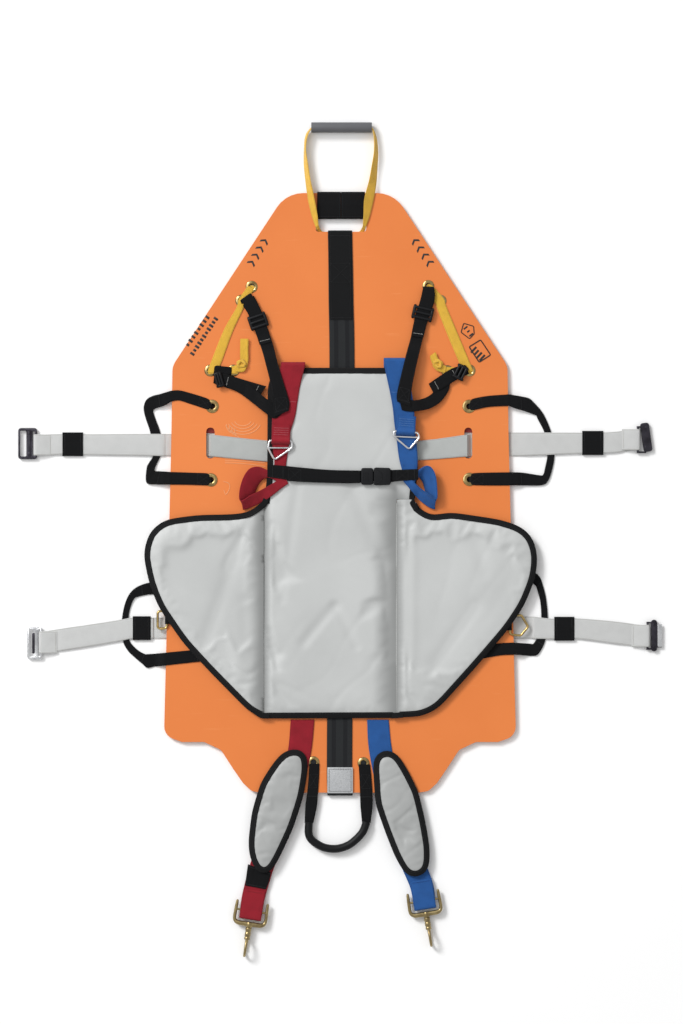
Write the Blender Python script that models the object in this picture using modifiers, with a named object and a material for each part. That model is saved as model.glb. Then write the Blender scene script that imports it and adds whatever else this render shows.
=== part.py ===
"""Flexible drag-and-lift rescue board with a sewn-on casualty harness, lying flat, head end towards +Y.

Every number below is in millimetres. Points are given in plan (X across the board, Y towards the head),
with the floor at Z = 0.
"""

from math import atan2, cos, radians, sin, tan

import bmesh
import bpy
import numpy as np
from mathutils import Matrix, Vector

MM = 0.001

# Driving dimensions
BOARD_THICK = 5.6
BOARD_BOTTOM = 2.5
WEB = 2.0  # thickness of all webbing
LACE = 1.6  # thickness of the shoulder laces
EYELET_HOLE = 13.0
FLOOR_WEB = 1.0  # middle height of webbing that lies on the floor
RAISED_WEB = 3.4  # middle height of a side strap where it crosses a handle and its keeper
BOARD_TOP = BOARD_BOTTOM + BOARD_THICK
ON_BOARD = BOARD_TOP + 0.3 + WEB / 2  # middle height of webbing that lies on the board
PAD_BOTTOM = ON_BOARD + WEB / 2 + 0.5
PAD_TOP = 22.0
WING_BOTTOM = 14.6
OVER_PAD = PAD_TOP + 0.6 + WEB / 2  # shoulder straps on the pad
CHEST_WEB = OVER_PAD + WEB + 0.6  # chest strap over the shoulder straps
EDGE_X = 321.0  # where the upper side handles and straps leave the board
LEFT_FLEX_X = -352.0  # where the lower side handles and straps flex
RIGHT_FLEX_X = 362.0
FLEX_GAP = 0.75  # from the line where a strap flexes to each of its two halves
HANDLE_AXIS_Y = 589.0
HANDLE_AXIS_Z = 5.2
RING_WIRE = 2.0  # radius of the triangular rings' wire
FOLD = 3.6  # radius of the middle of a strap folded round a bar
BAR = 2.1  # radius of that bar


def clear_scene():
    for obj in list(bpy.data.objects):
        bpy.data.objects.remove(obj, do_unlink=True)


def new_collection(name):
    collection = bpy.data.collections.new(name)
    bpy.context.scene.collection.children.link(collection)
    return collection


clear_scene()
BOARD_SET = new_collection("rescue_board")


def material(name, rgb, roughness, metallic=0.0):
    made = bpy.data.materials.new(name)
    made.use_nodes = True
    shader = made.node_tree.nodes["Principled BSDF"]
    shader.inputs["Base Color"].default_value = (*rgb, 1.0)
    shader.inputs["Roughness"].default_value = roughness
    shader.inputs["Metallic"].default_value = metallic
    return made


ORANGE = (0.87, 0.29, 0.085)
BLACK = (0.018, 0.019, 0.022)
GREY_WEB = (0.56, 0.57, 0.55)
PAD_GREY = (0.46, 0.47, 0.47)
YELLOW = (0.86, 0.56, 0.08)
RED = (0.50, 0.045, 0.055)
BLUE = (0.035, 0.12, 0.38)
BRASS = (0.55, 0.42, 0.16)
STEEL = (0.75, 0.76, 0.77)
ANODISED = (0.06, 0.057, 0.065)


# Shapes -----------------------------------------------------------------------------------------


def finish(bm, name):
    """The bmesh as an object in the board's collection, welded, with its faces turned out."""
    bmesh.ops.remove_doubles(bm, verts=bm.verts, dist=1e-7)
    bmesh.ops.recalc_face_normals(bm, faces=bm.faces)
    mesh = bpy.data.meshes.new(name)
    bm.to_mesh(mesh)
    bm.free()
    obj = bpy.data.objects.new(name, mesh)
    BOARD_SET.objects.link(obj)
    return obj


def paint(obj, name, rgb, roughness, metallic=0.0):
    obj.name = name
    obj.data.materials.clear()
    obj.data.materials.append(material(name, rgb, roughness, metallic))
    return obj


def settle(obj):
    """Makes the object's modifiers part of its mesh."""
    bpy.context.view_layer.update()
    mesh = bpy.data.meshes.new_from_object(obj.evaluated_get(bpy.context.evaluated_depsgraph_get()))
    obj.modifiers.clear()
    obj.data = mesh
    return obj


def combine(base, tools, operation):
    for tool in tools:
        modifier = base.modifiers.new(tool.name, "BOOLEAN")
        modifier.operation = operation
        modifier.solver = "EXACT"
        modifier.object = tool
        settle(base)
        bpy.data.objects.remove(tool, do_unlink=True)
    return base


def union(*pieces):
    return combine(pieces[0], pieces[1:], "UNION")


def cut(base, *tools):
    return combine(base, tools, "DIFFERENCE")


def rounded(corners, radius, steps=4):
    """The closed outline with each corner turned into an arc. A corner may name its own radius."""
    out = []
    count = len(corners)
    for i, corner in enumerate(corners):
        r = corner[2] if len(corner) > 2 else radius
        here = Vector(corner[:2])
        before = Vector(corners[i - 1][:2]) - here
        after = Vector(corners[(i + 1) % count][:2]) - here
        half = before.angle(after) / 2
        if r <= 0 or half > radians(88):
            out.append(here)
            continue
        back = min(r / tan(half), 0.49 * before.length, 0.49 * after.length)
        r = back * tan(half)
        centre = here + (before.normalized() + after.normalized()).normalized() * (r / sin(half))
        start = here + before.normalized() * back - centre
        end = here + after.normalized() * back - centre
        turn = atan2(start.x * end.y - start.y * end.x, start.dot(end))
        for k in range(steps + 1):
            out.append(centre + Matrix.Rotation(turn * k / steps, 2) @ start)
    return out


def slab(name, outline, low, high, bevel=0.0, segments=1):
    """The outline as a plate between two heights, with its upper and lower rims bevelled."""
    bm = bmesh.new()
    face = bm.faces.new([bm.verts.new((x * MM, y * MM, low * MM)) for x, y in outline])
    grown = bmesh.ops.extrude_face_region(bm, geom=[face])["geom"]
    rise = Vector((0, 0, (high - low) * MM))
    bmesh.ops.translate(bm, verts=[v for v in grown if isinstance(v, bmesh.types.BMVert)], vec=rise)
    obj = finish(bm, name)
    if bevel:
        modifier = obj.modifiers.new("Rim", "BEVEL")
        modifier.width = bevel * MM
        modifier.segments = segments
        modifier.limit_method = "ANGLE"
        modifier.angle_limit = radians(60)
        settle(obj)
    return obj


def box(name, x, y, z, turn=0.0):
    """A block between pairs of limits, turned in plan about its middle by an angle in degrees."""
    bm = bmesh.new()
    bmesh.ops.create_cube(bm, size=1)
    size = Matrix.Diagonal((x[1] - x[0], y[1] - y[0], z[1] - z[0], 1))
    place = Matrix.Translation(Vector((sum(x) / 2, sum(y) / 2, sum(z) / 2)) * MM)
    whole = place @ Matrix.Rotation(radians(turn), 4, "Z") @ Matrix.Scale(MM, 4) @ size
    bmesh.ops.transform(bm, matrix=whole, verts=bm.verts)
    return finish(bm, name)


def rod(name, start, end, radius, sides=12):
    """A round bar between two points."""
    start, end = Vector(start), Vector(end)
    bm = bmesh.new()
    bmesh.ops.create_cone(
        bm, cap_ends=True, segments=sides, radius1=radius * MM, radius2=radius * MM,
        depth=(end - start).length * MM
    )
    turn = (end - start).to_track_quat("Z", "Y").to_matrix().to_4x4()
    bmesh.ops.transform(bm, matrix=Matrix.Translation((start + end) / 2 * MM) @ turn, verts=bm.verts)
    return finish(bm, name)


def wire(name, points, radius, closed=False, roundness=1):
    """A round wire bent along the points."""
    curve = bpy.data.curves.new(name, "CURVE")
    curve.dimensions = "3D"
    curve.bevel_depth = radius * MM
    curve.bevel_resolution = roundness
    curve.use_fill_caps = not closed
    spline = curve.splines.new("POLY")
    spline.points.add(len(points) - 1)
    for knot, point in zip(spline.points, points, strict=True):
        knot.co = (*(Vector(point) * MM), 1.0)
    spline.use_cyclic_u = closed
    holder = bpy.data.objects.new(name, curve)
    BOARD_SET.objects.link(holder)
    bpy.context.view_layer.update()
    mesh = bpy.data.meshes.new_from_object(holder.evaluated_get(bpy.context.evaluated_depsgraph_get()))
    bpy.data.objects.remove(holder, do_unlink=True)
    bm = bmesh.new()
    bm.from_mesh(mesh)
    return finish(bm, name)


def through(rows, steps):
    """Rows of numbers joined smoothly, each stretch in so many steps."""
    rows = np.array(rows, float)
    if steps == 1:
        return rows
    padded = np.vstack([2 * rows[0] - rows[1], rows, 2 * rows[-1] - rows[-2]])
    out = []
    for a, b, c, d in zip(padded, padded[1:], padded[2:], padded[3:], strict=False):
        for k in range(steps):
            t = k / steps
            out.append(0.5 * (2 * b + (c - a) * t + (2 * a - 5 * b + 4 * c - d) * t**2
                              + (3 * b - a - 3 * c + d) * t**3))
    out.append(rows[-1])
    return np.array(out)


def eased(values, steps):
    """Heights joined without ever passing beyond either neighbour."""
    values = np.array(values, float)
    out = []
    for low, high in zip(values, values[1:], strict=False):
        for k in range(steps):
            t = k / steps
            out.append(low + (high - low) * t * t * (3 - 2 * t))
    out.append(values[-1])
    return np.array(out)


def ribbon(name, stations, steps=3, thick=WEB):
    """Webbing lofted through its stations: left edge x, y, right edge x, y and the height of the middle.

    A tilted station gives each edge its own height: left x, y, z and right x, y, z.
    """
    rows = [s if len(s) == 6 else (s[0], s[1], s[4], s[2], s[3], s[4]) for s in stations]
    rows = np.array(rows, float)
    plan = through(rows[:, [0, 1, 3, 4]], steps)
    left = np.column_stack([plan[:, :2], eased(rows[:, 2], steps)])
    right = np.column_stack([plan[:, 2:], eased(rows[:, 5], steps)])
    middle = (left + right) / 2
    along = np.gradient(middle, axis=0)
    bm = bmesh.new()
    rings = []
    for a, b, tangent in zip(left, right, along, strict=True):
        normal = Vector(b - a).cross(Vector(tangent)).normalized() * thick / 2
        corners = (Vector(a) - normal, Vector(b) - normal, Vector(b) + normal, Vector(a) + normal)
        rings.append([bm.verts.new(c * MM) for c in corners])
    for one, two in zip(rings, rings[1:], strict=False):
        for k in range(4):
            bm.faces.new((one[k], one[(k + 1) % 4], two[(k + 1) % 4], two[k]))
    bm.faces.new(rings[0])
    bm.faces.new(rings[-1])
    return finish(bm, name)


def band_on_edge(name, stations, steps=3, thick=WEB):
    """Webbing that stands on its edge: stations of x, y, the height of its lower and of its upper edge."""
    rows = np.array(stations, float)
    plan = through(rows[:, :2], steps)
    low, high = eased(rows[:, 2], steps), eased(rows[:, 3], steps)
    along = np.gradient(plan, axis=0)
    bm = bmesh.new()
    rings = []
    for (x, y), (dx, dy), bottom, top in zip(plan, along, low, high, strict=True):
        side = Vector((-dy, dx)).normalized() * thick / 2
        corners = ((x - side.x, y - side.y, bottom), (x + side.x, y + side.y, bottom),
                   (x + side.x, y + side.y, top), (x - side.x, y - side.y, top))
        rings.append([bm.verts.new(Vector(c) * MM) for c in corners])
    for one, two in zip(rings, rings[1:], strict=False):
        for k in range(4):
            bm.faces.new((one[k], one[(k + 1) % 4], two[(k + 1) % 4], two[k]))
    bm.faces.new(rings[0])
    bm.faces.new(rings[-1])
    return finish(bm, name)


def fold(name, axis, outward, half_width, tail, tail_z):
    """A strap end folded round a bar: from under it, round its outer side, and back to the strap.

    axis is the middle of the bar, outward the unit direction away from the strap in plan.
    """
    out = Vector((*outward, 0.0))
    across = Vector((outward[1], -outward[0], 0.0)) * half_width
    rows = []
    for angle in (-90, -60, -30, 0, 30, 60, 90):
        turn = radians(angle)
        rows.append(Vector(axis) + out * FOLD * cos(turn) + Vector((0, 0, FOLD * sin(turn))))
    rows.insert(0, rows[0] - out * 3)
    rows.append(rows[-1] - out * 5)
    rows.append(Vector((*(Vector(axis) - out * tail).xy, tail_z)))
    stations = [(*(p - across), *(p + across)) for p in rows]
    return ribbon(name, stations, steps=1)


# Board ------------------------------------------------------------------------------------------

HALF_BOARD = [
    (102, 658, 60),
    (318, 330, 36),
    (320, 200, 0),
    (326, -50, 0),
    (334, -372, 52),
    (300, -384, 0),
    (258, -384, 14),
    (226, -399, 16),
    (202, -436, 20),
    (184, -462, 18),
    (168, -477, 14),
    (150, -480, 0),
]
UPPER_EYELETS = [(-167.6, 480.1), (-187.3, 453.5), (-246, 321.1), (-202.2, 321.1)]
UPPER_EYELETS_RIGHT = [(167.6, 481.5), (190.9, 453.5), (246, 321.3), (203.9, 320)]
HANDLE_EYELETS = [(-242.6, 253.1), (-245.1, 113.4), (245.1, 253.1), (246, 114.4)]
LOWER_EYELETS = [(-256, -84), (-256, -218), (262, -66), (262, -216)]
FOOT_EYELETS = [(-50.3, -422.4), (44.6, -424.1)]
HAND_HOLE = [(-46, 584.5), (50, 584.5), (50, 611, 1.5), (-46, 611, 1.5)]
SLOTS = [(-254, -238, 154, 213), (236, 251, 154, 213)]

outline = HALF_BOARD + [(-c[0], *c[1:]) for c in reversed(HALF_BOARD)]
board = slab("sheet", rounded(outline, 10, 5), BOARD_BOTTOM, BOARD_TOP)
below, above = BOARD_BOTTOM - 5, BOARD_TOP + 5
cutters = [slab("hand_hole", rounded(HAND_HOLE, 5, 3), below, above)]
for x0, x1, y0, y1 in SLOTS:
    corners = [(x0, y0), (x1, y0), (x1, y1), (x0, y1)]
    cutters.append(slab("slot", rounded(corners, 7.5, 3), below, above))
for x, y in UPPER_EYELETS + UPPER_EYELETS_RIGHT + HANDLE_EYELETS + LOWER_EYELETS + FOOT_EYELETS:
    cutters.append(rod("eyelet", (x, y, below), (x, y, above), EYELET_HOLE / 2, 12))
paint(cut(board, *cutters), "board_sheet", ORANGE, 0.5)

# Head end ---------------------------------------------------------------------------------------

wrap = box("wrap", (-43.6, 47.4), (608.6, 660.6), (0.1, BOARD_TOP + 2.3))
bar_space = box("bar_space", (-60, 60), (610.7, 658.5), (BOARD_BOTTOM - 0.3, BOARD_TOP + 0.3))
paint(cut(wrap, bar_space), "head_bar_wrap", BLACK, 0.8)

SPINE_EDGES = [(-23, 584, 23, 584), (-21.5, 450, 25.5, 450), (-20, 326, 27.5, 326), (-22, 0, 26, 0),
               (-24, -250, 24, -250), (-25, -430, 23, -430), (-24, -479.5, 24, -479.5)]
spine = ribbon("spine", [(*e, ON_BOARD) for e in SPINE_EDGES])
nose_rows = [(575, ON_BOARD - 0.1), (585, ON_BOARD), (592, ON_BOARD), (594.6, ON_BOARD - 1.2),
             (596, ON_BOARD - 4),
             (596, FLOOR_WEB + 4), (594.6, FLOOR_WEB + 1.2), (592, FLOOR_WEB), (560, FLOOR_WEB)]
nose = ribbon("nose", [(-23, y, z, 23, y, z) for y, z in nose_rows], steps=1)
foot_rows = [(-470, ON_BOARD - 0.1), (-480.6, ON_BOARD), (-483.6, ON_BOARD - 1.2), (-484.8, ON_BOARD - 4),
             (-484.8, FLOOR_WEB + 4), (-483.6, FLOOR_WEB + 1.2), (-480.6, FLOOR_WEB), (-412, FLOOR_WEB)]
foot_turn = ribbon("foot_turn", [(-24, y, z, 24, y, z) for y, z in foot_rows], steps=1)
# Under the board the strap's end is sewn to the link between the foot handle's two eyelets
foot_link = ribbon("foot_link", [(x, y + 8, x, y - 8, FLOOR_WEB + 0.15) for x, y in FOOT_EYELETS], steps=1)
foot_posts = [rod("post", (x + 2 * s, y, FLOOR_WEB), (x + 2 * s, y, BOARD_TOP), 3.6, 10)
              for (x, y), s in zip(FOOT_EYELETS, (1, -1), strict=True)]
paint(union(spine, nose, foot_turn, foot_link, *foot_posts), "spine_strap", BLACK, 0.75)
paint(box("patch", (-24, 24.5), (-481, -431.5), (ON_BOARD + WEB / 2 + 0.3, ON_BOARD + WEB / 2 + 1.5)),
      "spine_strap_foot_patch", (0.60, 0.61, 0.61), 0.4)

# Drag handle: webbing loop, its cross piece behind the hand hole's lower edge, and the tube grip
GRIP_Z = 9.8
left_leg = ribbon("left_leg", [
    (-45.6, 782.2, GRIP_Z - 5.5, -45.6, 782.2, GRIP_Z + 5.5),
    (-54.1, 782.6, 4.2, -54.1, 779.2, 15.4),
    (-65.4, 767, 2.0, -61.9, 765.1, 17),
    (-68, 740.4, 1.5, -65, 740.4, 18),
    (-68.4, 711.9, 2.0, -60.8, 711.9, 17),
    (-65.5, 681.5, 4.6, -56, 681.5, 17.5),
    (-62.7, 658.7, 9.8, -51.3, 660.6, 19.5),
    (-59.8, 639.7, 9.8, -47.5, 641.6, 19),
    (-53.2, 613.1, 9.8, -42.9, 616.9, 16),
    (-46.7, 594.1, 9.8, -40.7, 597.2, 12.4),
], steps=2, thick=LACE)
right_leg = ribbon("right_leg", [
    (51.3, 782.2, GRIP_Z - 5.5, 51.3, 782.2, GRIP_Z + 5.5),
    (60.8, 782.6, 4.2, 60.8, 779.2, 15.4),
    (69.3, 763.2, 2.0, 64.6, 761.3, 17),
    (72.2, 736.6, 1.5, 64.6, 736.6, 18),
    (71.4, 711.9, 2.0, 60.8, 711.9, 17),
    (69.5, 681.5, 4.6, 55.1, 681.5, 17.5),
    (66.5, 658.7, 9.8, 49.4, 660.6, 19.5),
    (62.7, 639.7, 9.8, 45.6, 641.6, 19),
    (56.2, 613.1, 9.8, 44.8, 616.9, 16),
    (49.4, 594.1, 9.8, 43.3, 597.2, 12.4),
], steps=2, thick=LACE)
core = box("core", (-49, 55), (781.1, 783.3), (GRIP_Z - 4.9, GRIP_Z + 4.9))
cross_z = HANDLE_AXIS_Z
cross = wire("cross", [
    (-43.6, 600, 11.4), (-43.4, 597.5, 8.8), (-43, 595, 7.2), (-41.4, 592, 6.2),
    (-38, HANDLE_AXIS_Y, cross_z),
    (41, HANDLE_AXIS_Y, cross_z), (44.4, 592, 6.2), (46, 595, 7.2), (46.4, 597.5, 8.8), (46.6, 600, 11.4),
], 2.2)
paint(union(core, left_leg, right_leg, cross), "drag_handle_webbing", YELLOW, 0.7)
grip = rod("grip", (-54, 782.2, GRIP_Z), (60, 782.2, GRIP_Z), 9.7, 20)
bore = rod("bore", (-70, 782.2, GRIP_Z), (70, 782.2, GRIP_Z), 7.2, 16)
paint(cut(grip, bore), "drag_handle_grip", (0.115, 0.117, 0.125), 0.6)

# Pad --------------------------------------------------------------------------------------------

PAD = [(-68, 325), (89, 325), (128, 325, 8), (141, 189), (148, 146), (141, 77, 2), (107.2, 76.4, 0),
       (107.2, -337, 2),
       (-144.2, -338, 2), (-144.2, 66, 0), (-137, 117), (-136, 303), (-114, 325)]
pad = slab("pad", rounded([(x, *rest) for x, *rest in PAD], 10, 2), PAD_BOTTOM, PAD_TOP, 4, 2)
paint(pad, "back_pad", PAD_GREY, 0.45)
LEFT_WING = [(-144.8, 74, 0), (-170, 50.7), (-205.2, 46.9), (-267.9, 46), (-332.5, 37.4), (-361, 14.6),
             (-372.4, -26.4),
             (-361, -82.3), (-342.9, -127.9), (-297.2, -194.4), (-246.2, -249.5), (-195.7, -300.8),
             (-170, -327), (-144.8, -337, 0)]
RIGHT_WING = [(107.8, -336, 0), (155.8, -334.2), (186.2, -319), (257.4, -240), (318.6, -168.9),
              (349.2, -123.1),
              (369.5, -72.2), (374.3, -31), (364.8, 4.2), (343.9, 24.1), (303.2, 37.4), (206.7, 51.7),
              (171, 43.1), (150.1, 58.3), (141.4, 74.5), (107.8, 74, 0)]
for name, corners in (("left_wing", LEFT_WING), ("right_wing", RIGHT_WING)):
    wing = slab(name, rounded(corners, 16, 3), WING_BOTTOM, PAD_TOP, 3, 2)
    paint(wing, name, PAD_GREY, 0.45)

# Shoulder straps with their folds round the triangular rings' bars
def shoulder_strap(name, rgb, stations, top, loop, ring_bar, ring_out):
    """top: edges of the strap where it turns round the pad's upper edge; loop: its tail beside the pad."""
    ax, ay, bx, by = top
    rows = [(ax, ay - 45, bx, by - 45, ON_BOARD), (ax, ay - 20, bx, by - 20, ON_BOARD),
            (ax, ay - 5, bx, by - 5, ON_BOARD)]
    rows += [(ax, ay - 1, bx, by - 1, ON_BOARD + 3), (ax, ay, bx, by, (ON_BOARD + OVER_PAD) / 2)]
    rows += [(ax, ay - 1, bx, by - 1, OVER_PAD - 3), (ax, ay - 5, bx, by - 5, OVER_PAD)]
    turn = ribbon(name + "_turn", [(r[0], r[1], r[4], r[2], r[3], r[4]) for r in rows] , steps=1)
    main = ribbon(name + "_main", [(ax, ay - 4.5, bx, by - 4.5, OVER_PAD)] + [(*s,
        OVER_PAD) for s in stations])
    tail = band_on_edge(name + "_tail", loop)
    x, y = ring_bar
    away = Vector(ring_out)
    across = Vector((away.y, -away.x)) * 17
    arch = []
    for back, z in ((-15, 1.9), (-9, 2.1), (-5.2, 3.6), (-3.4, 6.2), (0, 7.4), (3.4, 6.2), (5.2, 3.6),
                    (7.0, 1.0)):
        spot = Vector((x, y)) + away * back
        arch.append((*(spot - across), OVER_PAD + z, *(spot + across), OVER_PAD + z))
    hold = ribbon(name + "_hold", arch, steps=1)
    return paint(union(main, turn, hold, tail), name, rgb, 0.65)


shoulder_strap("left_shoulder_strap", RED, [
    (-121.6, 293.9, -75, 293.9), (-126.3, 261.6, -80.6, 259.7), (-128.1, 236.9, -84.5, 235),
    (-129.2, 202.7, -94, 202.7),
    (-127.3, 170.4, -97.8, 170.4), (-124.4, 145.7, -101.6, 145.7), (-128.2, 117.2, -104.5, 109.6)],
    (-112, 336, -66, 336),
    [(-122, 112, 23, 24.5), (-134, 121, 23, 24.6), (-146.3, 130.5, 18, 24.6), (-163.4, 135.3, 12, 24.6),
     (-178.6, 124.8, 11, 24.6), (-187.1, 100.1, 11, 24.6), (-188.5, 77.3, 11, 24.6), (-178.6, 65.9, 13, 24.6),
     (-159.6, 74.5, 17, 24.6), (-140.6, 85.9, 22.8, 24.8), (-121.6, 100.1, 23, 24.6), (-111, 108, 23, 24.4)],
    (-112.1, 187.5), (-0.035, -1.0))
shoulder_strap("right_shoulder_strap", BLUE, [
    (87.4, 312.9, 130.2, 312.9), (94.4, 280.6, 135.8, 280.6), (99.8, 250.2, 139.8, 250.2),
    (102.6, 223.6, 141.7, 227.4),
    (107.3, 189.4, 144.4, 191.3), (112.1, 153.3, 147.2, 153.3), (119.7, 124.8, 145.2, 124.8),
    (124.4, 105.8, 142.5, 109.6)],
    (83, 344, 125, 344),
    [(134, 112, 23, 24.5), (146, 122, 22.9, 24.6), (156.8, 132.4, 17, 24.6), (167.2, 138.5, 12, 24.6),
     (176.7, 130.5, 11, 24.6), (180.1, 109.6, 11, 24.6), (179, 86.8, 11, 24.6), (173.8, 75.4, 13, 24.6),
     (163.4, 79.2, 17, 24.6), (150.1, 90.6, 22.8, 24.8), (136.8, 105.8, 23, 24.5), (134, 110, 23, 24.4)],
    (124.4, 204.6), (-0.075, -1.0))


def triangle_ring(name, bar_left, bar_right, corner_left, corner_right, apex, z):
    """A wire ring: the bar lies in the strap's fold, its shoulders carry a second bar, its point is free."""
    points = rounded([bar_left, corner_left, apex, corner_right, bar_right], 5, 3)
    ring = wire(name, [(x, y, z) for x, y in points], RING_WIRE, closed=True)
    across = rod(name + "_bar", (*corner_left, z), (*corner_right, z), RING_WIRE * 0.9, 8)
    return paint(union(ring, across), name, STEEL, 0.25, 1.0)


RING_Z = OVER_PAD + WEB / 2 + 0.6 + RING_WIRE
triangle_ring("left_d_ring", (-133.9, 188.3), (-90.6, 186.8), (-136.2, 174.2), (-91.2, 174.2),
              (-124.4, 151.1), RING_Z)
triangle_ring("right_d_ring", (101.8, 206.2), (147.4, 202.7), (102.2, 195.9), (150.1, 193.6), (131.1, 171.2),
              RING_Z)

# Chest strap and side-release buckle
CHEST_Z = CHEST_WEB
left_web = ribbon("web", [(-137.6, 142.9, -137.6, 119.1, CHEST_Z), (-104.5, 140, -104.5, 114.2, CHEST_Z),
                          (-74.9, 137, -74.9, 110, CHEST_Z), (-19, 132.4, -19, 107.7, CHEST_Z),
                          (47, 131, 47, 108, CHEST_Z)])
paint(left_web, "chest_strap", BLACK, 0.75)
plug = slab("plug", rounded([(40, 136), (63, 136), (63, 104), (40, 104)], 4, 3), PAD_TOP + 0.8, PAD_TOP + 9,
            1, 1)
tongue = slab("tongue", rounded([(60, 129), (86, 129), (86, 111), (60, 111)], 3, 2), CHEST_Z - 1.6,
              CHEST_Z + 1.4)
recess = box("recess", (30, 49), (107, 132), (CHEST_Z - 1.4, CHEST_Z + 1.4))
paint(cut(union(plug, tongue), recess), "chest_buckle_plug", (0.02, 0.02, 0.022), 0.45)
socket = slab("socket", rounded([(64, 137), (96, 136), (96, 104), (64, 103)], 4, 3), PAD_TOP + 0.8,
              PAD_TOP + 9.6, 1, 1)
cavity = box("cavity", (60, 88), (110, 130), (CHEST_Z - 2.0, CHEST_Z + 1.8))
stub_space = box("stub_space", (90, 110), (107, 133), (CHEST_Z - 1.4, CHEST_Z + 1.4))
paint(cut(socket, cavity, stub_space), "chest_buckle_socket", (0.02, 0.02, 0.022), 0.45)
stub = ribbon("stub", [(91, 132, 91, 108, CHEST_Z), (110, 132.6, 110, 111, CHEST_Z),
                       (148, 134, 148, 113.6, CHEST_Z)])
paint(stub, "chest_stub", BLACK, 0.75)

# Laces ------------------------------------------------------------------------------------------
LACE_Z = BOARD_TOP + 0.3 + LACE / 2
run = ribbon("run", [(-174.8, 482, -163.4, 474.4, LACE_Z), (-191.9, 456.4, -178.6, 449.7, LACE_Z),
                     (-196.8, 440.2, -184.3, 436.4, LACE_Z),
                     (-220.4, 398.4, -204.2, 393.7, LACE_Z), (-244.1, 339.5, -226.1, 333.8, LACE_Z),
                     (-251.6, 318.6, -236.5, 314.8, LACE_Z)], thick=LACE)
bridge = ribbon("bridge", [(-247, 314.8, -247, 327, LACE_Z + 0.3), (-224.2, 314.8, -224.2, 327, LACE_Z + 0.3),
                           (-193.8, 314.8, -195.7, 330, LACE_Z + 0.3)], thick=LACE)
tail = ribbon("tail", [(-197.6, 317.7, -201.4, 330, LACE_Z + 1.4), (-181.3, 319.8, -187, 336.7, LACE_Z + 2.8),
                       (-173.7, 337.6, -188.5, 344.3, LACE_Z + 3.2),
                       (-174, 360.4, -189.6, 360.4, LACE_Z + 3.6),
                       (-173.3, 381.3, -189.2, 381.3, LACE_Z + 4.2)], thick=LACE)
paint(union(run, bridge, tail), "left_shoulder_lace", YELLOW, 0.7)
run = ribbon("run", [(160.7, 476.3, 174.8, 483.2, LACE_Z), (180.5, 448.6, 197.6, 457.3, LACE_Z),
                     (184.3, 438.3, 201.4, 444, LACE_Z),
                     (205.2, 385.1, 223.2, 391.8, LACE_Z), (227, 333.8, 245.1, 339.5, LACE_Z),
                     (235.6, 314.8, 252.7, 320.5, LACE_Z)], thick=LACE)
bridge = ribbon("bridge", [(247, 327, 247, 314.8, LACE_Z + 0.3), (224.2, 327, 224.2, 314.8, LACE_Z + 0.3),
                           (195.7, 328.1, 195.7, 312.9, LACE_Z + 0.3)], thick=LACE)
tail = ribbon("tail", [(201.4, 329.1, 199.5, 315.8, LACE_Z + 1.4), (190, 335.7, 184.3, 320.5, LACE_Z + 2.8),
                       (186.2, 344.1, 174, 336.5, LACE_Z + 3.4), (181.3, 355.5, 170.2, 347.1, LACE_Z + 4.0)],
              thick=LACE)
paint(union(run, bridge, tail), "right_shoulder_lace", YELLOW, 0.7)

# Adjuster straps --------------------------------------------------------------------------------
LOW = BOARD_TOP + 0.3 + LACE + 0.7 + WEB / 2  # over a lace
OVER_STRAP = OVER_PAD + WEB / 2 + 0.4 + WEB / 2
run = ribbon("run", [(-184.3, 444, -163.4, 463, LOW), (-174.8, 428.8, -152, 440.2, LOW),
                     (-168, 413.6, -144.4, 421.2, LOW),
                     (-160.5, 394.6, -136.8, 400.3, LOW), (-149, 362.3, -126.5, 368.8, LOW + 5),
                     (-141.4, 335.7, -119.7, 341.4, OVER_STRAP - 1),
                     (-130, 288.2, -106.4, 295.8, OVER_STRAP + 1.8),
                     (-127.3, 259.7, -96.1, 261.6, OVER_STRAP + 1.8),
                     (-124.3, 233.1, -96.9, 244.5, OVER_STRAP + 1.8)])
back = ribbon("back", [(-100.7, 246.4, -125.4, 255.9, OVER_STRAP), (-121.6, 230.1, -129.2, 261.6, OVER_STRAP),
                       (-136.8, 236.9, -140.6, 268.1, OVER_STRAP - 0.2),
                       (-167.2, 260.7, -165.3, 288.2, OVER_STRAP - 9),
                       (-193.8, 279.9, -188.1, 304.4, LOW + 0.3), (-224.2, 291.1, -220.4, 313.9, LOW + 0.3),
                       (-240.3, 296.8, -238.4, 316.7, LOW + 0.3)])
tab = ribbon("tab", [(-239.4, 297.7, -237.5, 318.6, LOW + 2.1), (-212.8, 288.2, -207.1, 311, LOW + 2.1),
                     (-182.4, 277.8, -172.9, 300.6, LOW + 2.1), (-153.9, 270.2, -139.7, 290.9, LOW + 2.1)])
paint(union(run, back, tab), "left_adjuster_strap", BLACK, 0.75)
run = ribbon("run", [(160.7, 472.5, 176.7, 473.3, LOW), (154.8, 453.5, 179.5, 454.5, LOW),
                     (145.5, 434.5, 171, 429.6, LOW),
                     (140.6, 415.5, 164.5, 411.7, LOW), (134.1, 383.2, 156.9, 380.2, LOW + 4),
                     (126.2, 354.7, 149.3, 349.8, OVER_STRAP - 1),
                     (114, 305.3, 137.8, 297.7, OVER_STRAP + 1.8),
                     (107.5, 274.9, 134.1, 269.2, OVER_STRAP + 1.8),
                     (108.3, 261.6, 134.9, 252.1, OVER_STRAP + 1.8)])
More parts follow.
